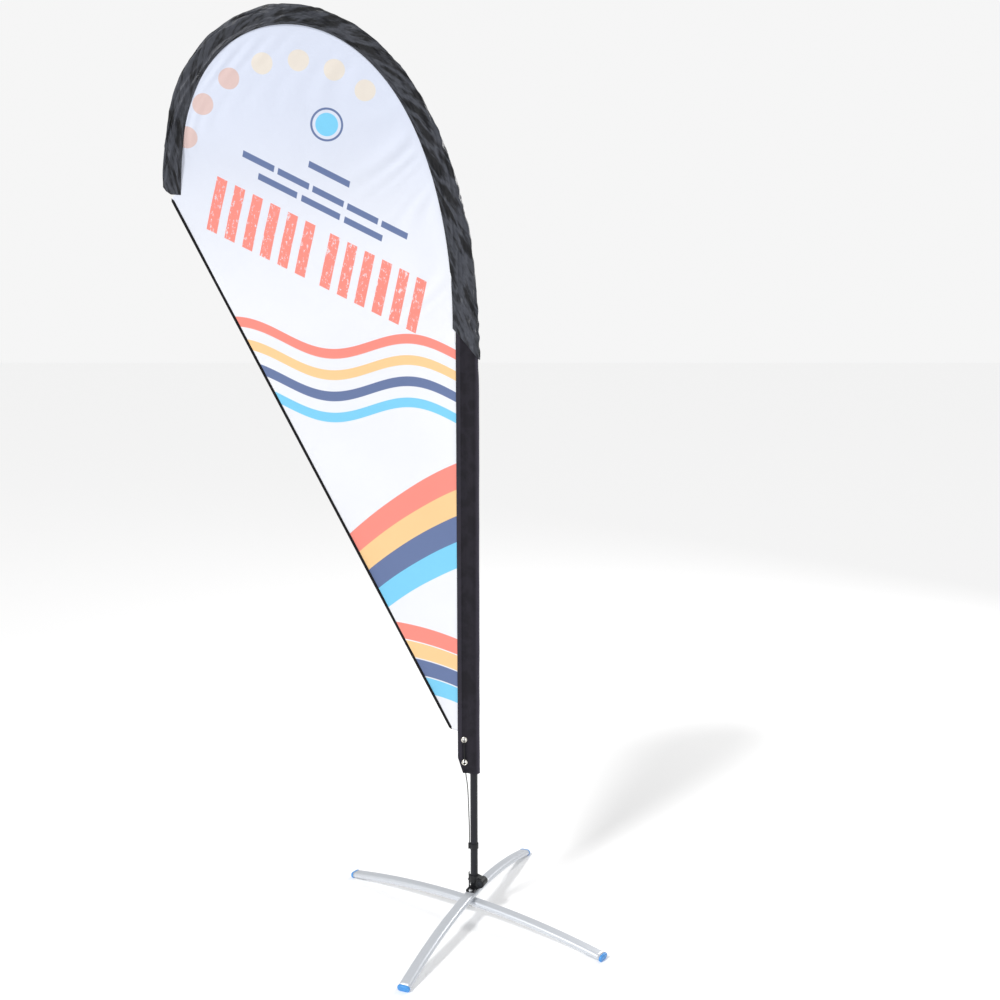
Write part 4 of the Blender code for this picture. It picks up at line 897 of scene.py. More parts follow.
@dataclass(frozen=True)
class Folds:
    """Soft folds: a sum of sine waves with seeded directions and phases.

    Each wave has so many crests a metre along the first and the second parameter.
    """

    seed: int
    count: int
    along: Tuple[float, float]
    across: Tuple[float, float]

    def height(self, p: Array, q: Array) -> Array:
        """The sum, divided by the root of the number of waves.

        Args:
            p, q: first and second parameter.

        Returns:
            About -1 to 1 at each pair.
        """
        draw = np.random.default_rng(self.seed)
        total = np.zeros(np.broadcast(p, q).shape)
        for _ in range(self.count):
            f = draw.uniform(*self.along) * draw.choice((-1, 1))
            g = draw.uniform(*self.across)
            total += np.sin(2 * pi * (f * p + g * q) + draw.uniform(0, 2 * pi))
        return total / self.count ** 0.5

    def crests(self, p: Array, q: Array, steep: float) -> Array:
        """Sharp crests: 1 less so many times the size of the height."""
        return 1 - steep * np.abs(self.height(p, q))


def fit(obj: bpy.types.Object, body: Body, finish: Finish,
        nodes: Sequence[str] = ()) -> bpy.types.Object:
    """Dresses a piece, hides the CAD nodes that it stands for, and makes it ride on its body.

    Args:
        obj: the piece.
        body: the body that it rides on.
        finish: what its surface is.
        nodes: the CAD nodes that it replaces.

    Returns:
        The same piece.
    """
    obj.data.materials.clear()
    obj.data.materials.append(finish.material())
    if nodes:
        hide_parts(*nodes)
    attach(obj, body.value)
    log.info("%s: %d faces on %s", obj.name, len(obj.data.polygons), body.value)
    return obj


# ---- places

@dataclass(frozen=True)
class Place:
    """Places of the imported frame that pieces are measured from."""

    axis: Array
    pivot: Array

    @staticmethod
    def read() -> "Place":
        """Reads the pole's axis and the pivot's axis from the frame."""
        low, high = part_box("pole_lower")
        first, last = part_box("pivot_bolt")
        return Place(np.array([(low.x + high.x) / 2, (low.y + high.y) / 2, 0.0]),
                     np.array([(first.x + last.x) / 2, (first.y + last.y) / 2, 0.0]))

    def flag(self, x: Array, y: Array, z: Array) -> Array:
        """Points given from the pole's axis and the ground."""
        return together(x, y, z) + self.axis


@dataclass(frozen=True)
class Bend:
    """The bent pole's line, which the flag's arch follows."""

    height: float = 1.488
    length: float = 1.540
    turn: float = radians(177.5)
    rise: float = 4.36
    fall: float = 1.98
    base: float = 0.223

    def at(self, run: Array) -> Tuple[Array, Array, Array]:
        """Place and direction at a length from the bend's start; below it the line is straight.

        Curvature grows as u**rise * (1-u)**fall over its peak, plus a base, scaled so that it
        sums to the whole turn; x is the sum of -sin and z of cos of the angle.

        Args:
            run: lengths from the bend's start.

        Returns:
            x from the pole's axis, z from the ground, and the angle from upright.
        """
        u = np.linspace(0, 1, 3001)
        total = self.rise + self.fall
        peak = self.rise ** self.rise * self.fall ** self.fall / total ** total
        curve = u ** self.rise * (1 - u) ** self.fall / peak + self.base
        angle = summed((curve[1:] + curve[:-1]) / 2)
        angle *= self.turn / angle[-1]
        middle = (angle[1:] + angle[:-1]) / 2
        step = self.length / (len(u) - 1)
        x, z = summed(-np.sin(middle)) * step, summed(np.cos(middle)) * step
        share = np.clip(run / self.length, 0, 1)
        over = np.minimum(run, 0)
        past = np.maximum(run - self.length, 0)
        last = np.interp(share, u, angle)
        return (np.interp(share, u, x) - past * np.sin(last),
                self.height + over + np.interp(share, u, z) + past * np.cos(last), last)


# ---- base

@dataclass
class CrossBase:
    """The two bowed tubes and their end plugs."""

    place: Place
    half_span: float = 0.400
    width: float = 30 * MM
    depth: float = 15 * MM
    wall: float = 1.2 * MM
    gap: float = 0.3 * MM
    end_lift: float = 1.3 * MM
    cap_head: float = 6 * MM
    rise: float = 34.5 * MM
    spacer: float = 2.1 * MM
    lower_turn: float = radians(-34.9)
    upper_turn: float = radians(68.2)
    steps: int = 18
    rows: int = 90

    def oval(self, grow: Array) -> Array:
        """A flat oval's outline, two half circles joined by straight sides.

        Args:
            grow: how far each row's outline stands outside the tube's own.

        Returns:
            (rows, points, 2) places across the tube and up it.
        """
        angle = np.linspace(-pi / 2, pi / 2, self.steps + 1)
        straight = np.linspace(-1, 1, 8)[1:-1]
        reach = (self.width - self.depth) / 2
        radius = np.maximum(self.depth / 2 + grow, 0)[:, None]
        right = np.stack([reach + radius * np.cos(angle), radius * np.sin(angle)], axis=-1)
        top = np.stack([-reach * straight + 0 * radius, radius + 0 * straight], axis=-1)
        return np.concatenate([right, top, -right, -top], axis=1)

    def underside(self, rise: float, reach: Array, half: float) -> Array:
        """Height of a bowed tube's underside: a parabola from the rise down to the ends."""
        return self.end_lift + (rise - self.end_lift) * (1 - (reach / half) ** 2)

    def leg(self, name: str, node: str, body: Body, angle: float, rise: float, caps: Tuple[str, str]) -> None:
        """One tube with its wall, and the two plugs in its ends.

        The oval is carried along the parabola, with its height square to the slope.

        Args:
            name: the tube's name.
            node: the CAD tube.
            body: the body that they ride on.
            angle: the tube's direction from +X.
            rise: height of its underside at the pivot.
            caps: the CAD plugs, the one at the negative end first.
        """
        slope = atan(2 * (rise - self.end_lift) / self.half_span)
        half = self.half_span - self.cap_head * cos(slope) - self.gap
        along = np.array([cos(angle), sin(angle), 0.0])
        across = np.array([-sin(angle), cos(angle), 0.0])
        reach = np.linspace(-half, half, self.rows)
        fall = -2 * (rise - self.end_lift) * reach / half ** 2
        up = unit(UP - fall[:, None] * along)
        middle = self.place.pivot + reach[:, None] * along
        middle[:, 2] = self.underside(rise, reach, half) + self.depth / 2
        shape = self.oval(np.zeros(self.rows))
        points = middle[:, None] + shape[..., :1] * across + shape[..., 1:] * up[:, None]
        tube_piece = skin(name, points, around=True)
        shell(tube_piece, self.wall)
        metal = Metal(f"{name}_aluminium", LEG_GREY, 0.36, 0.42, -angle, (0.02, 1.0, 1.0), 0.16, 0.30)
        fit(tube_piece, body, metal, [node])
        for side, cap in zip((-1, 1), caps):
            self.cap(cap, body, side, along, across, slope, half)

    def cap(self, node: str, body: Body, side: int, along: Array, across: Array, slope: float,
            half: float) -> None:
        """A plug: ovals that grow over the tube's rim and shrink to a rounded face, flat on the ground.

        Args:
            node: the CAD plug.
            body: the body that it rides on.
            side: 1 or -1, the end of the tube.
            along, across: the tube's level directions.
            slope: how far the tube's end is tipped.
            half: half of the tube's length.
        """
        inset = np.array([-7.5, -1.6, -1.6, 0.6, 1.0, 1.0, 0.75, 0.2, -0.6, -1.8, -4.5, -7.5]) * MM
        height = np.array([-9.0, -9.0, -0.2, 0.0, 0.5, 3.6, 4.8, 5.6, 6.1, 6.4, 6.6, 6.7]) * MM
        shape = self.oval(inset)
        outward = side * cos(slope) * along - sin(slope) * UP
        up = side * sin(slope) * along + cos(slope) * UP
        middle = self.place.pivot + side * (half + self.gap * cos(slope)) * along
        middle = middle + UP * (self.end_lift + self.depth / 2 * cos(slope))
        points = middle + shape[..., :1] * across + shape[..., 1:] * up + height[:, None, None] * outward
        points[..., 2] = np.maximum(points[..., 2], 0.0)
        piece = skin(f"{node}_plug", points, around=True)
        weld(piece)
        fit(piece, body, CAP_BLUE, [node])

    def build(self) -> None:
        """Both legs, the upper one at the base body and the lower one on its pivot."""
        self.leg("lower_tube", "lower_leg", Body.LOWER_LEG, self.lower_turn, self.rise,
                 ("end_cap_left", "end_cap_right"))
        self.leg("upper_tube", "upper_leg", Body.BASE, self.upper_turn, self.rise + self.depth + self.spacer,
                 ("end_cap_front", "end_cap_back"))


# ---- flag

def arch_section(u: Array) -> Tuple[Array, Array]:
    """The arch sleeve's outer edge from the rod, and its width, which both shrink along its share u."""
    return (16 - 8 * u) * MM, (43 + 21 * (1 - u) ** 2.5) * MM


def doubled(inside: Array, hem: Tuple[float, float]) -> Array:
    """1 where a hem folds the cloth double, falling to 0 between two distances inside its edge."""
    return soft_step(-inside, -hem[1], -hem[0])


@dataclass
class Sleeve:
    """A flattened cloth tube over the pole, sewn flat along its inner edge.

    Its section is a half ellipse over the pole, then a cosine fall to the flat seam.
    """

    place: Place
    bend: Bend
    tunnel: float
    crown_steps: int
    fall_steps: int
    flat_steps: int
    seam: float = 1.6 * MM
    wall: float = 0.5 * MM

    def section(self, out: Array, width: Array, half: Array) -> Dict[str, Array]:
        """One side's section, then its mirror.

        Args:
            out: outer edge from the pole's centre, a column of one value a row.
            width: whole width.
            half: half thickness over the pole.

        Returns:
            a, y: places; na, ny: outward direction; flex: how far it can fold; side: 1 or -1.
        """
        crown = np.linspace(0, pi / 2, self.crown_steps)[None]
        fall = np.linspace(0, 1, self.fall_steps + 1)[None, 1:]
        flat = np.linspace(0, 1, self.flat_steps + 1)[None, 1:]
        zero = np.zeros_like(out)
        parts = {
            "a": (out * np.cos(crown), -self.tunnel * fall + zero,
                  -self.tunnel + (out - width + self.tunnel) * flat),
            "y": (half * np.sin(crown), self.seam + (half - self.seam) * (0.5 + 0.5 * np.cos(pi * fall)),
                  self.seam + 0 * flat + zero),
            "na": (np.cos(crown) + zero, 0 * fall + zero, 0 * flat + zero),
            "ny": (np.sin(crown) + zero, 0 * fall + zero + 1, 0 * flat + zero + 1),
            "flex": (0.65 + 0.35 * np.sin(crown) + zero, 1 - 0.25 * fall + zero,
                     0.75 * (1 - flat) ** 0.6 + zero),
            "side": (0 * crown + zero + 1, 0 * fall + zero + 1, 0 * flat + zero + 1),
        }
        joined = {k: np.concatenate(v, axis=1) for k, v in parts.items()}
        mirror = {k: -v if k in ("y", "ny", "side") else v for k, v in joined.items()}
        return {k: np.concatenate([v, mirror[k][:, :0:-1]], axis=1) for k, v in joined.items()}

    def inner_columns(self) -> Tuple[int, int]:
        """Columns of the two sides' seam edges."""
        last = self.crown_steps + self.fall_steps + self.flat_steps - 1
        return last, last + 1

    def lay(self, run: Array, parts: Dict[str, Array], lift: Array) -> Array:
        """Places on the cloth from its section and its lift along the outward direction.

        Args:
            run: lengths from the bend's start.
            parts: the section.
            lift: how far the cloth stands off its section.

        Returns:
            (rows, columns, 3) places, each side on its own side of the flag's plane.
        """
        x, z, angle = self.bend.at(run)
        a = parts["a"] + parts["na"] * lift
        y = parts["y"] + parts["ny"] * lift
        least = np.where(np.abs(parts["y"]) > 1 * MM, 0.9 * MM, 0.0)
        y = parts["side"] * np.maximum(np.abs(y) * (y * parts["side"] > 0), least)
        return self.place.flag(x + a * np.cos(angle), y, z + a * np.sin(angle))

    def cloth_uv(self, run: Array, parts: Dict[str, Array]) -> Array:
        """The cloth's own map.

        Args:
            run: lengths along the sleeve.
            parts: the section.

        Returns:
            (rows, columns + 1, 2) metres round the sleeve and along it.
        """
        step = np.hypot(np.diff(parts["a"][:1], axis=1), np.diff(parts["y"][:1], axis=1))
        close = np.abs(parts["y"][:1, -1:] - parts["y"][:1, :1])
        u = summed(np.concatenate([step, close], axis=1)[0])
        return together(u[None], np.concatenate([run, run[:, :1]], axis=1))

    def seam_rows(self, points: Array, insets: Tuple[int, int]) -> List[Tuple[Array, Array]]:
        """Stitch rows along the seam on both sides.

        Args:
            points: places on the sleeve.
            insets: columns from the seam's edge.

        Returns:
            A path and its outward directions for each row.
        """
        first, second = self.inner_columns()
        columns = [(first - n, FRONT) for n in insets] + [(second + n, -FRONT) for n in insets]
        return [(points[:, column], np.tile(out, (len(points), 1))) for column, out in columns]

    def hem_rows(self, points: Array, parts: Dict[str, Array], row: int) -> List[Tuple[Array, Array]]:
        """Stitch rows round both sides, from the crown to the seam.

        Args:
            points: places on the sleeve.
            parts: its section.
            row: the grid's row.

        Returns:
            A path and its outward directions for each side.
        """
        first, second = self.inner_columns()
        out = together(parts["na"][row], parts["ny"][row], 0.0)
        halves = (slice(2, first), slice(second + 1, points.shape[1] - 2))
        return [(points[row, half], out[half]) for half in halves]


@dataclass
class UpperSleeve(Sleeve):
    """Shiny wrinkled sleeve over the bend, its lower hem cut on a slant.

    Over the knit sleeve its folds keep a least lift. That and the last fields, the heights of
    its folds, are in millimetres.
    """

    tunnel: float = 26 * MM
    crown_steps: int = 10
    fall_steps: int = 14
    flat_steps: int = 8
    rows: int = 250
    hem_outer: float = 1.438
    hem_inner: float = 1.515
    past_bend: float = 10 * MM
    tip_cut: float = 17 * MM
    tack: float = 90 * MM
    overlap: Tuple[float, float] = (30 * MM, 55 * MM)
    seam_hem: Tuple[float, float] = (9 * MM, 10.5 * MM)
    foot_hem: Tuple[float, float] = (11 * MM, 12.5 * MM)
    least_lift: float = 0.3
    long_fold: float = 2.0
    streak: float = 2.0
    crumple: float = 1.5
    slant_fold: float = 3.0

    def wrinkles(self, run: Array, share: Array, left: Array, parts: Dict[str, Array]) -> Array:
        """Lift of the cloth by its wrinkles, held flat at the seam and at the tip.

        It adds long folds, streaks, crumples that are strongest near the hem, a sine of slanted
        folds in a bell above the hem, and two narrow grooves where the tip pocket is tacked.

        Args:
            run: lengths from the bend's start.
            share: shares of the width, from the outer edge.
            left: lengths from the sleeve's end.
            parts: the section.

        Returns:
            Millimetres along the section's outward direction.
        """
        across = share + 0.35 * parts["side"]
        long_folds = Folds(3, 7, (0.8, 4.0), (1.2, 3.4)).height(run, across)
        streaks = Folds(4, 6, (1.5, 7.0), (1.2, 2.8)).crests(run, across, 1.7)
        crumple = Folds(5, 10, (6, 19), (0.6, 3.2)).crests(run, across, 1.6)
        wander = Folds(8, 4, (1.0, 5.0), (0.5, 1.2)).height(run, across)
        slant = np.sin(2 * pi * 27 * (run - 0.085 * share) + 1.6 * wander + 1.2)
        slant = slant * bell(run - 0.035 * share, 0.012, 0.062)
        busy = 0.45 + 0.8 * bell(run, 0.16, 0.26) + 0.35 * bell(run, 0.75, 0.25)
        past = left - self.tack
        tack = -1.6 * bell(past - 0.012 * share, 0.0, 3 * MM)
        tack += -1.0 * bell(past + 9 * MM + 0.02 * share, 0.0, 2.5 * MM)
        lift = self.long_fold * long_folds + self.streak * streaks + self.crumple * crumple * busy
        return parts["flex"] * (lift + self.slant_fold * slant + tack) * soft_step(left, 0.0, 25 * MM)

    def build(self) -> None:
        """The sleeve and its stitches."""
        u = np.concatenate([np.linspace(0, 0.02, 14), np.linspace(0.02, 0.97, self.rows)[1:],
                            np.linspace(0.97, 1, 18)[1:]])[:, None]
        out, width = arch_section(u)
        parts = self.section(out, width, (11.2 - 3.2 * u) * MM)
        share = ((out[:1] - parts["a"][:1]) / width[:1]).clip(0, 1)
        start = self.hem_outer + (self.hem_inner - self.hem_outer) * share - self.bend.height
        end = self.bend.length + self.past_bend - self.tip_cut * (1 - np.minimum(share / 0.42, 1))
        run = start + (end - start) * u
        left = end - run
        lift = self.wrinkles(run, share, left, parts)
        over_knit = 1 - soft_step(run - start, *self.overlap)
        lift += over_knit * (np.maximum(lift, self.least_lift) - lift)
        edge = parts["a"] - (out - width)
        hem = 0.45 * doubled(edge, self.seam_hem) + 0.5 * doubled(run - start, self.foot_hem)
        parts["y"] = parts["y"] * (0.22 + 0.78 * soft_step(left, 0.0, 20 * MM))
        points = self.lay(run, parts, (lift + hem * (edge > 0.5 * MM)) * MM)
        closing = points[-1:].copy()
        closing[..., 1] = self.place.axis[1]
        uv = self.cloth_uv(np.concatenate([run, run[-1:]]), parts)
        piece = skin("arch_sleeve", np.concatenate([points, closing]), around=True, uv=uv)
        weld(piece)
        shell(piece, self.wall)
        fit(piece, Body.POLE, SLEEVE_SHINE, ["upper_sleeve"])
        rows = self.seam_rows(points, (1, 4))
        rows += self.hem_rows(points, parts, 11) + self.hem_rows(points, parts, 12)
        fit(stitches("arch_sleeve_stitches", rows), Body.POLE, THREAD)


@dataclass
class LowerSleeve(Sleeve):
    """Matt knit sleeve on the straight pole, with a cut corner and two eyelet holes."""

    tunnel: float = 20 * MM
    crown_steps: int = 10
    fall_steps: int = 12
    flat_steps: int = 14
    foot: float = 0.381
    corner: Tuple[float, float] = (-28 * MM, 42 * MM)
    outer: float = 15.5 * MM
    inner: float = -41 * MM
    half: float = 11.1 * MM
    step_in: float = 1.5 * MM
    top: Tuple[float, float] = (1.468, 1.545)
    seam_hem: Tuple[float, float] = (11.8 * MM, 13 * MM)
    foot_hem: Tuple[float, float] = (12.5 * MM, 14 * MM)
    flattened: Tuple[float, float] = (0.915, 0.945)
    drawn_in: Tuple[float, float] = (0.93, 0.96)
    pressed: float = 9.5 * MM
    hole: float = 6.4 * MM

    def build(self, eyelets: Sequence[Tuple[float, float]]) -> None:
        """The sleeve with its holes, and its stitches.

        Its top is drawn in, flat and smooth, where the arch sleeve covers it. A pressed ridge
        runs up each side, and hems fold the cloth double along the seam and round the foot.

        Args:
            eyelets: the holes' middles in the flag's plane.
        """
        low = np.linspace(0, 0.105, 66)
        w = np.concatenate([low, np.linspace(0.105, 1, 120)[1:]])[:, None]
        drawn = self.step_in * soft_step(w, *self.drawn_in)
        out, half = self.outer - drawn, self.half - drawn
        parts = self.section(out, out - self.inner, half)
        a = parts["a"][:1]
        share = ((self.outer - a) / (self.outer - self.inner)).clip(0, 1)
        cut, rise = self.corner
        foot = self.foot + rise * np.clip((cut - a) / (cut - self.inner), 0, 1)
        end = self.top[0] + (self.top[1] - self.top[0]) * share
        z = foot + (end - foot) * w
        across = share + 0.35 * parts["side"]
        folds = Folds(11, 7, (0.3, 1.6), (0.9, 2.6)).height(z, across)
        creases = Folds(14, 6, (1.5, 5.0), (0.5, 1.6)).crests(z, across, 1.5)
        edge = a - self.inner
        band = 0.55 * doubled(edge, self.seam_hem) * (edge > 0.3 * MM)
        ridge = 0.7 * bell(a, self.pressed, 1.2 * MM)
        hem = 0.4 * doubled(z - foot, self.foot_hem)
        tucked = soft_step(w, *self.flattened)
        parts["y"] = parts["y"] * (1 - 0.45 * tucked * (np.abs(parts["y"]) < 2.5 * MM))
        lift = (parts["flex"] * (0.75 * folds + 0.35 * creases) + band + ridge + hem) * (1 - tucked) * MM
        points = self.lay(z - self.bend.height, parts, lift)
        piece = skin("pole_sleeve", points, around=True, uv=self.cloth_uv(z, parts),
                     keep=lambda p, f: self.whole(p, f, eyelets))
        shell(piece, self.wall)
        fit(piece, Body.POLE, SLEEVE_KNIT, ["lower_sleeve"])
        rows = self.seam_rows(points[3:-8], (1, 7)) + self.hem_rows(points, parts, 7)
        fit(stitches("pole_sleeve_stitches", rows), Body.POLE, THREAD)

    def whole(self, points: Array, faces: Array, eyelets: Sequence[Tuple[float, float]]) -> Array:
        """True for the faces whose middles lie clear of every eyelet's barrel."""
        middle = (points[faces].mean(axis=1) - self.place.axis)[:, None, ::2]
        return (np.linalg.norm(middle - np.array(eyelets), axis=-1) >= self.hole).all(axis=1)


@dataclass
class Panel:
    """The printed cloth between the sleeves' seams and the bound straight edge.

    The heights of its belly, its folds and its pulls at the seam are in millimetres.
    """

    place: Place
    bend: Bend
    corner: Tuple[float, float] = (-0.719, 1.824)
    point: Tuple[float, float] = (-0.055, 0.498)
    foot: float = 0.4915
    sleeve_edge: float = -41 * MM
    tuck: float = 5 * MM
    thickness: float = 0.6 * MM
    drape_turn: float = 0.45
    belly: float = 9.0
    broad: float = 4.6
    drape: float = 3.0
    pull: float = 1.1
    rows: int = 300
    columns: int = 110

    def seam(self, share: Array) -> Array:
        """The edge sewn into the sleeves: up beside the pole, then round inside the arch.

        Args:
            share: shares of its length, from the foot.

        Returns:
            (n, 2) x and z, measured as in Place.flag.
        """
        z = np.linspace(self.foot, self.bend.height, 120)
        straight = together(self.sleeve_edge + self.tuck - 7 * MM * soft_step(z, 1.46, 1.488), z)
        run = np.linspace(0, self.bend.length, 600)[1:]
        u = run / self.bend.length
        x, height, angle = self.bend.at(run)
        out, width = arch_section(u)
        a = out - width + self.tuck
        line = np.concatenate([straight, together(x + a * np.cos(angle), height + a * np.sin(angle))])
        length = run_along(line)
        return sample(share * length[-1], length, line)

    def build(self) -> bpy.types.Object:
        """The cloth: straight lines from the bound edge to the seam, bellied and folded.

        The belly is a sine both ways. Folds run along p and across q, which are x and z turned,
        with two creases at fixed q. Short pulls stand along the seam of the arch.

        Returns:
            The panel.
        """
        s = np.linspace(0, 1, self.rows)[:, None]
        t = np.linspace(0, 1, self.columns)[None]
        bound = np.array(self.point) + s * (np.array(self.corner) - np.array(self.point))
        flat = bound[:, None] * (1 - t[..., None]) + self.seam(s[:, 0])[:, None] * t[..., None]
        x, z = flat[..., 0], flat[..., 1]
        hold = np.sin(pi * t) ** 0.7 * np.sin(pi * s.clip(0.0, 1.0)) ** 0.5
        p = x * cos(self.drape_turn) - z * sin(self.drape_turn)
        q = x * sin(self.drape_turn) + z * cos(self.drape_turn)
        folds = self.broad * Folds(21, 6, (0.4, 1.4), (0.8, 2.4)).height(p, q)
        folds = folds + self.drape * Folds(24, 7, (0.2, 1.2), (3.0, 8.0)).height(p, q)
        folds = folds + (bell(q, 1.33, 0.014) * 1.6 - bell(q, 1.25, 0.020) * 1.4)
        near = soft_step(t, 0.45, 1.0) * (1 - soft_step(t, 0.94, 1.0))
        wander = Folds(27, 5, (0.5, 3), (0.5, 3)).height(x, z)
        pull = near * self.pull * (0.4 + wander) * np.sin(2 * pi * (s * 30 + 1.5 * t) + 5 * wander) \
            * soft_step(s, 0.40, 0.55)
        y = self.belly * hold * np.sin(pi * s) + folds * hold ** 0.6 + pull * np.minimum(1, (1 - t) * 12)
        piece = skin("printed_panel", self.place.flag(x, y * MM, z), uv=flat)
        modify(piece, "SOLIDIFY", thickness=self.thickness, offset=0.0, use_rim=True)
        settle(piece)
        cloth = Print("printed_polyester", PAPER, 0.62, Weave.PLAIN, 0.9 * MM, 0.10 * MM, 0.5 * MM, 26.0,
                      0.12, axis_x=float(self.place.axis[0]))
        fit(piece, Body.POLE, cloth, ["flag_panel"])
        return piece

    def bind(self) -> bpy.types.Object:
        """The folded tape over the straight edge: a squared oval carried along it.

        Returns:
            The binding.
        """
        rows, columns = 220, 20
        s = np.linspace(0, 1, rows)
        start, end = np.array(self.point), np.array(self.corner)
        ahead = unit(end - start)
        away = np.array([-ahead[1], ahead[0]])
        angle = np.linspace(0, 2 * pi, columns, endpoint=False)
        wide, deep = (np.sign(v) * np.abs(v) ** 0.5 for v in (np.cos(angle), np.sin(angle)))
        ripple = 0.12 * Folds(31, 5, (20, 60), (0, 0)).height(s * 1.48, s * 0)
        middle = start + s[:, None] * (end - start) + away * 1.6 * MM
        close = np.ones(rows)
        close[[0, -1]] = 0.0
        flat = middle[:, None] + away * (wide * 3.4 * MM)[None, :, None] * close[:, None, None]
        y = (deep[None] * (1.0 + ripple[:, None])) * MM * close[:, None]
        run = s * np.linalg.norm(end - start)
        uv = together(np.linspace(0, 17 * MM, columns + 1)[None], run[:, None])
        piece = skin("edge_tape", self.place.flag(flat[..., 0], y, flat[..., 1]), around=True, uv=uv)
        weld(piece)
        fit(piece, Body.POLE, TAPE, ["edge_binding"])
        path = self.place.flag(middle[:, 0] - away[0] * MM, 0.0, middle[:, 1] - away[1] * MM)
        lines = [(path + out * 1.05 * MM, np.tile(out, (rows, 1))) for out in (FRONT, -FRONT)]
        fit(stitches("edge_tape_stitches", lines), Body.POLE, THREAD)
        return piece


@dataclass
class TipPocket:
    """The folded webbing pouch inside the sleeve's end that the rod's tip pushes into."""

    place: Place
    bend: Bend
    inner: float = 5.4 * MM
    outer: float = 6.3 * MM
    mouth: float = -35 * MM
    floor: float = 10 * MM
    below_end: float = 30 * MM

    def build(self) -> None:
        """A thin cup turned round the bend's line, from its open mouth to its closed floor."""
        x, z, angle = (float(v) for v in self.bend.at(np.array(self.bend.length - self.below_end)))
        ahead = np.array([-sin(angle), 0.0, cos(angle)])
        inner, outer, low, high = self.inner, self.outer, self.mouth, self.floor
        profile = [(0, high), (inner * 0.7, high), (inner, high - MM), (inner, low),
                   (inner + 0.3 * MM, low - 0.4 * MM), (outer, low), (outer, low + 12 * MM),
                   (outer + 0.2 * MM, low + 12.6 * MM), (outer, low + 13.2 * MM), (outer, high - 0.5 * MM),
                   (outer * 0.75, high + 0.9 * MM), (0, high + 0.9 * MM)]
        cup = turned("tip_pouch", profile, 24, self.place.flag(x, 0.0, z), ahead)
        fit(cup, Body.POLE, TAPE, ["tip_pocket"])


@dataclass
class Eyelets:
    """Two pressed nickel eyelets through the lower sleeve's web."""

    place: Place
    spots: Tuple[Tuple[float, float], ...] = ((-24.5 * MM, 470.5 * MM), (-23.6 * MM, 410 * MM))

    def build(self) -> None:
        """A rolled flange with its barrel in front and a rolled washer behind, each a turned profile."""
        front = [(4.5, -3.8), (4.5, 2.7), (4.6, 3.3), (5.0, 3.85), (5.7, 4.15), (6.5, 4.1), (7.2, 3.8),
                 (7.7, 3.35), (7.9, 3.0), (7.6, 2.85), (6.8, 3.2), (5.9, 3.4), (5.3, 3.0), (5.1, 2.4),
                 (5.1, -3.8), (4.5, -3.8)]
        back = [(5.4, -2.9), (6.6, -2.75), (7.7, -2.8), (7.95, -3.1), (7.6, -3.6), (6.7, -3.95), (5.9, -3.9),
                (5.4, -3.5), (5.4, -2.9)]
        for tag, (x, z) in zip(("upper", "lower"), self.spots):
            centre = self.place.flag(x, 0.0, z)
            for name, profile, node in (("ring", front, "eyelet_"), ("washer", back, "eyelet_washer_")):
                shape = [(r * MM, h * MM) for r, h in profile]
                piece = turned(f"nickel_{name}_{tag}", shape, 40, centre, FRONT)
                fit(piece, Body.POLE, NICKEL, [node + tag])


@dataclass
class TensionCord:
    """Thin braided elastic through both eyelets and down to the clip on the pole."""

    place: Place
    radius: float = 1.25 * MM
    count: int = 72
    knot_radius: float = 1.1 * MM
    knot_size: float = 1.15 * MM

    def build(self) -> None:
        """The cord, with an overhand knot behind the upper eyelet.

        The knot's loop is a trefoil: sin t + 2 sin 2t, cos t - 2 cos 2t and -1.1 sin 3t.
        """
        path = smooth_path(np.array(CORD_ROUTE) * MM, self.count) + self.place.axis
        cord = tube("elastic_cord", path, self.radius, 12)
        fit(cord, Body.POLE, CORD, ["tension_cord"])
        t = np.linspace(0, 2 * pi, 72, endpoint=False)
        loop = together(np.sin(t) + 2 * np.sin(2 * t), -1.1 * np.sin(3 * t), np.cos(t) - 2 * np.cos(2 * t))
        knot_path = path[0] + np.array([0, 0.6, 2.2]) * MM + loop * self.knot_size
        knot = tube("elastic_knot", knot_path, self.knot_radius, 10, closed=True)
        fit(knot, Body.POLE, CORD)


CORD_ROUTE = (
    (-24.5, 6.3, 480.0), (-24.5, 6.0, 476.7), (-24.5, 4.8, 473.4), (-24.5, 2.6, 471.4),
    (-24.5, 0.0, 470.5), (-24.5, -2.6, 469.6), (-24.5, -4.8, 467.6), (-24.4, -6.0, 464.3),
    (-24.3, -6.2, 459.0), (-24.1, -6.0, 440.0), (-23.8, -6.2, 421.0), (-23.7, -6.0, 416.2),
    (-23.6, -4.8, 412.9), (-23.6, -2.6, 410.9), (-23.6, 0.0, 410.0), (-23.6, 2.6, 409.1),
    (-23.6, 4.8, 407.1), (-23.5, 6.0, 403.8), (-23.2, 6.2, 398.0), (-22.2, 6.0, 386.0),
    (-20.2, 4.8, 371.0), (-17.6, 3.4, 352.0), (-15.6, 2.2, 329.0), (-14.2, 1.2, 296.0),
    (-13.1, 0.6, 262.0), (-12.3, 0.2, 236.0), (-12.1, 0.0, 214.0), (-12.1, 0.0, 190.4),
)


# ---- finishes of this object

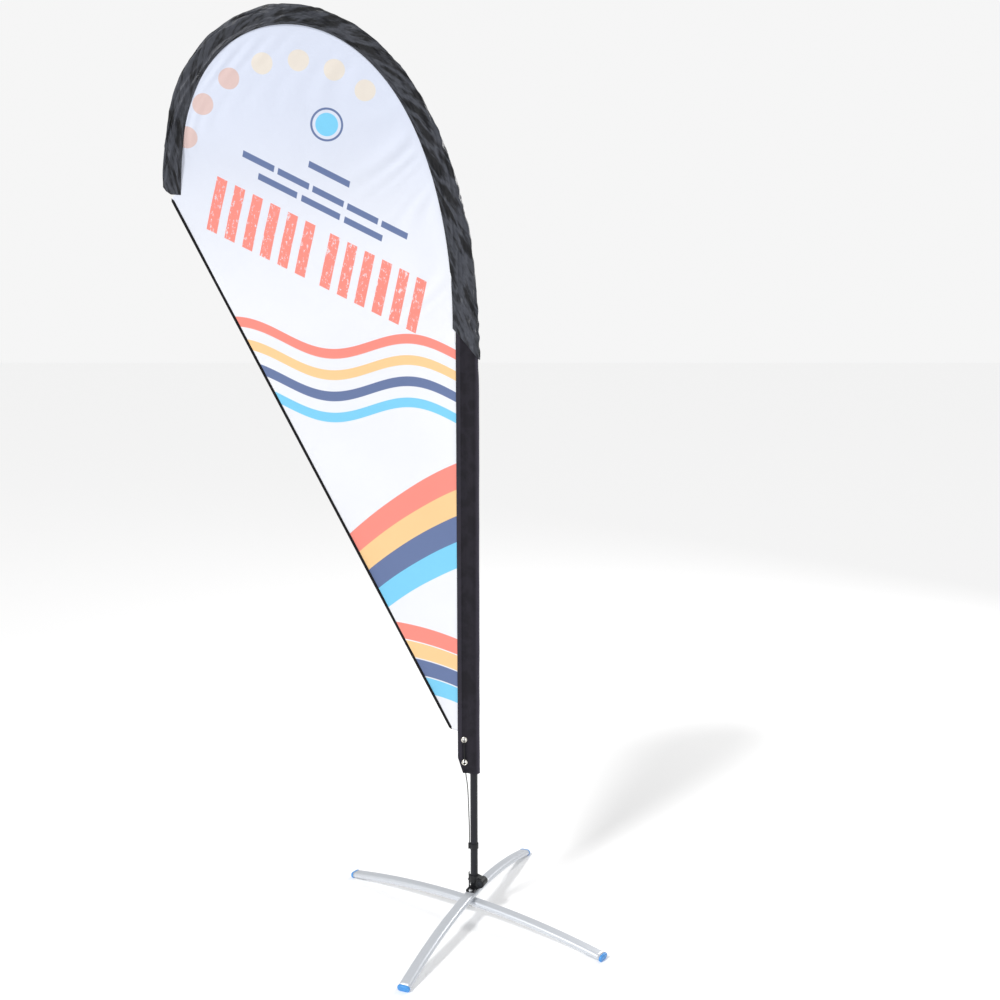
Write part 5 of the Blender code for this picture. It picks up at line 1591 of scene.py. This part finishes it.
CAP_BLUE = Moulded("sky_blue_plug", srgb(70, 148, 218), 0.42, 0.03 * MM, 900.0, 0.18, 0.1, 0.05)
# Painted highlights lighten its fold crests up to ten times its colour.
SLEEVE_SHINE = Cloth("shiny_black_polyester", srgb(19, 20, 23), 0.30, Weave.PLAIN, 0.7 * MM, 0.06 * MM,
                     2.6 * MM, 34.0, 0.03, 0.9, 0.30, 10.0, drag=0.35)
# Painted highlight on its doubled hem and outer rim, set by seam_at.
SLEEVE_KNIT = Cloth("matt_black_knit", srgb(34, 32, 39), 0.75, Weave.KNIT, 1.1 * MM, 0.14 * MM,
                    0.5 * MM, 14.0, 0.06, 0.3, 0.2, seam_at=66.2 * MM)
TAPE = Cloth("black_webbing", srgb(20, 20, 22), 0.8, Weave.TWILL, 1.0 * MM, 0.2 * MM,
             0.3 * MM, 60.0, 0.05, 0.3, 0.2)
THREAD = Cloth("black_thread", srgb(30, 31, 34), 0.6, Weave.TWILL, 0.5 * MM, 0.05 * MM,
               0.2 * MM, 60.0, 0.05, 0.2, 0.3)
CORD = Braid("black_elastic", srgb(20, 22, 21), 0.7)
BLACKENED = Metal("blackened_steel", srgb(58, 60, 64), 0.36, 0.9, 0.0, (1, 1, 1), 0.10, 0.2)
BLACK_FASTENERS = ("hinge_pin", "hinge_pin_nut", "latch_pin")
NICKEL = Metal("nickel_plate", srgb(232, 228, 218), 0.20, 1.0, 0.0, (1, 1, 1), 0.08, 0.15)
NODE_FINISHES: Dict[str, Finish] = {
    "leg_metal": Metal("aluminium", LEG_GREY, 0.40, 0.85),
    "cap_plastic": CAP_BLUE,
    "chrome": Metal("bright_chrome", srgb(240, 242, 245), 0.12, 1.0, 0.0, (1, 1, 1), 0.05, 0.10),
    "zinc": Metal("zinc_plate", srgb(196, 196, 192), 0.34, 1.0, 0.0, (1, 1, 1), 0.15, 0.3),
    "steel": Metal("turned_steel", srgb(184, 185, 189), 0.30, 1.0, 0.0, (1, 1, 0.2), 0.12, 0.2),
    "nylon": Moulded("natural_nylon", srgb(222, 220, 208), 0.5, 0.03 * MM, 700.0, 0.15, 0.0, 0.15),
    "black_plastic": Moulded("black_nylon", srgb(21, 22, 25), 0.42, 0.05 * MM, 1600.0, 0.3, 0.0, 0.0, 0.35),
    "pole_metal": Moulded("black_coated_tube", srgb(25, 26, 32), 0.40, 0.03 * MM, 1100.0, 0.3, 0.03,
                          0.0, 0.3),
    "fibreglass": Moulded("black_fibreglass", srgb(24, 24, 25), 0.35, 0.04 * MM, 700.0, 0.3, 0.1, 0.0, 0.4),
    "rubber": Moulded("black_rubber", srgb(24, 24, 25), 0.8, 0.06 * MM, 900.0, 0.3, 0.0, 0.0, 0.2),
    "nickel": NICKEL,
    "sleeve_fabric": SLEEVE_SHINE,
    "knit_fabric": SLEEVE_KNIT,
    "panel_fabric": TAPE,
    "webbing": TAPE,
    "cord_fabric": CORD,
}


def dress_nodes(nodes: Dict[str, bpy.types.Object]) -> None:
    """Gives every CAD node the finish of its slot."""
    for name, node in nodes.items():
        for slot in node.material_slots:
            finish = BLACKENED if name in BLACK_FASTENERS else NODE_FINISHES[slot.material.name.split(".")[0]]
            slot.material = finish.material()
        log.info("%s dressed", name)


# ---- studio

@dataclass
class Studio:
    """Camera, floor and soft lights."""

    place: Place
    lens: float = 45.72
    sensor: float = 36.0
    pitch: float = radians(8.9)
    distance: float = 3.12
    side: float = 67.2 * MM
    height: float = 1.58
    floor_size: float = 60.0
    ambient: float = 0.43
    backdrop: float = 0.92
    floor_glow: float = 0.10
    sun: float = 1.9
    sun_from: Tuple[float, float, float] = (-0.75, -0.85, 1.15)
    aim: Tuple[float, float, float] = (-0.05, 0.0, 1.2)
    lamps: Tuple[Tuple[str, Tuple[float, float, float], float, float], ...] = (
        ("key", (-2.6, -3.2, 3.2), 1.6, 24.0), ("fill", (3.4, -1.6, 2.2), 1.4, 7.0),
        ("rim", (2.6, 2.4, 2.8), 1.0, 60.0))

    def camera(self) -> None:
        """A camera that looks along +Y, tipped down."""
        data = bpy.data.cameras.new("camera")
        data.lens, data.sensor_width = self.lens, self.sensor
        camera = bpy.data.objects.new("camera", data)
        camera.location = (self.place.axis[0] + self.side, self.place.axis[1] - self.distance, self.height)
        camera.rotation_euler = (pi / 2 - self.pitch, 0.0, 0.0)
        bpy.context.scene.collection.objects.link(camera)
        bpy.context.scene.camera = camera

    def light(self, name: str, kind: str, at: Sequence[float], aim: Sequence[float],
              **settings: float) -> None:
        """A light that shines from one place towards another.

        Args:
            name: its name.
            kind: its type.
            at: where it is.
            aim: where it points.
            settings: its own properties.
        """
        data = bpy.data.lights.new(name, kind)
        for key, value in settings.items():
            setattr(data, key, value)
        lamp = bpy.data.objects.new(name, data)
        lamp.location = at
        lamp.rotation_euler = (Vector(at) - Vector(aim)).to_track_quat("Z", "Y").to_euler()
        bpy.context.scene.collection.objects.link(lamp)

    def surroundings(self) -> None:
        """A world that shows a pale backdrop to the camera and gives a softer light to the rest."""
        world = bpy.data.worlds.new("studio")
        bpy.context.scene.world = world
        shader = Shader(world, "ShaderNodeOutputWorld")
        white = (1.0, 1.0, 1.0)
        glow = shader.node("ShaderNodeBackground", None, {"Color": white, "Strength": self.ambient})[0]
        backdrop = shader.node("ShaderNodeBackground", None, {"Color": (self.backdrop,) * 3})[0]
        seen = shader.node("ShaderNodeLightPath")[0]
        shader.show(shader.node("ShaderNodeMixShader", None, {0: seen, 1: glow, 2: backdrop})[0])

    def build(self) -> None:
        """Floor, world and lights, and the plain view transform that keeps printed colours true."""
        half = self.floor_size / 2
        corners = np.array([(-half, -half, 0), (half, -half, 0), (half, half, 0), (-half, half, 0)], float)
        floor = new_mesh("floor", corners, np.array([[0, 1, 2, 3]]))
        material = bpy.data.materials.new("pale_floor")
        Shader(material).surface(base_color=(0.94, 0.94, 0.94), roughness=0.95,
                                 emission_color=(1.0, 1.0, 1.0), emission_strength=self.floor_glow)
        floor.data.materials.append(material)
        bpy.context.scene.view_settings.view_transform = "Standard"
        self.surroundings()
        self.light("sun", "SUN", self.sun_from, (0.0, 0.0, 0.0), energy=self.sun, angle=radians(10))
        for name, at, size, power in self.lamps:
            self.light(name, "AREA", at, self.aim, size=size, energy=power)


def main() -> None:
    """Builds the looks round the frame, from the camera and the cord to the flag."""
    logging.basicConfig(level=logging.INFO, format="%(message)s")
    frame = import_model()
    place, bend = Place.read(), Bend()
    studio = Studio(place)
    studio.camera()
    TensionCord(place).build()
    studio.build()
    dress_nodes(frame["nodes"])
    CrossBase(place).build()
    eyelets = Eyelets(place)
    eyelets.build()
    UpperSleeve(place, bend).build()
    LowerSleeve(place, bend).build(eyelets.spots)
    panel = Panel(place, bend)
    cloth, tape = panel.build(), panel.bind()
    TipPocket(place, bend).build()


if __name__ == "__main__":
    main()
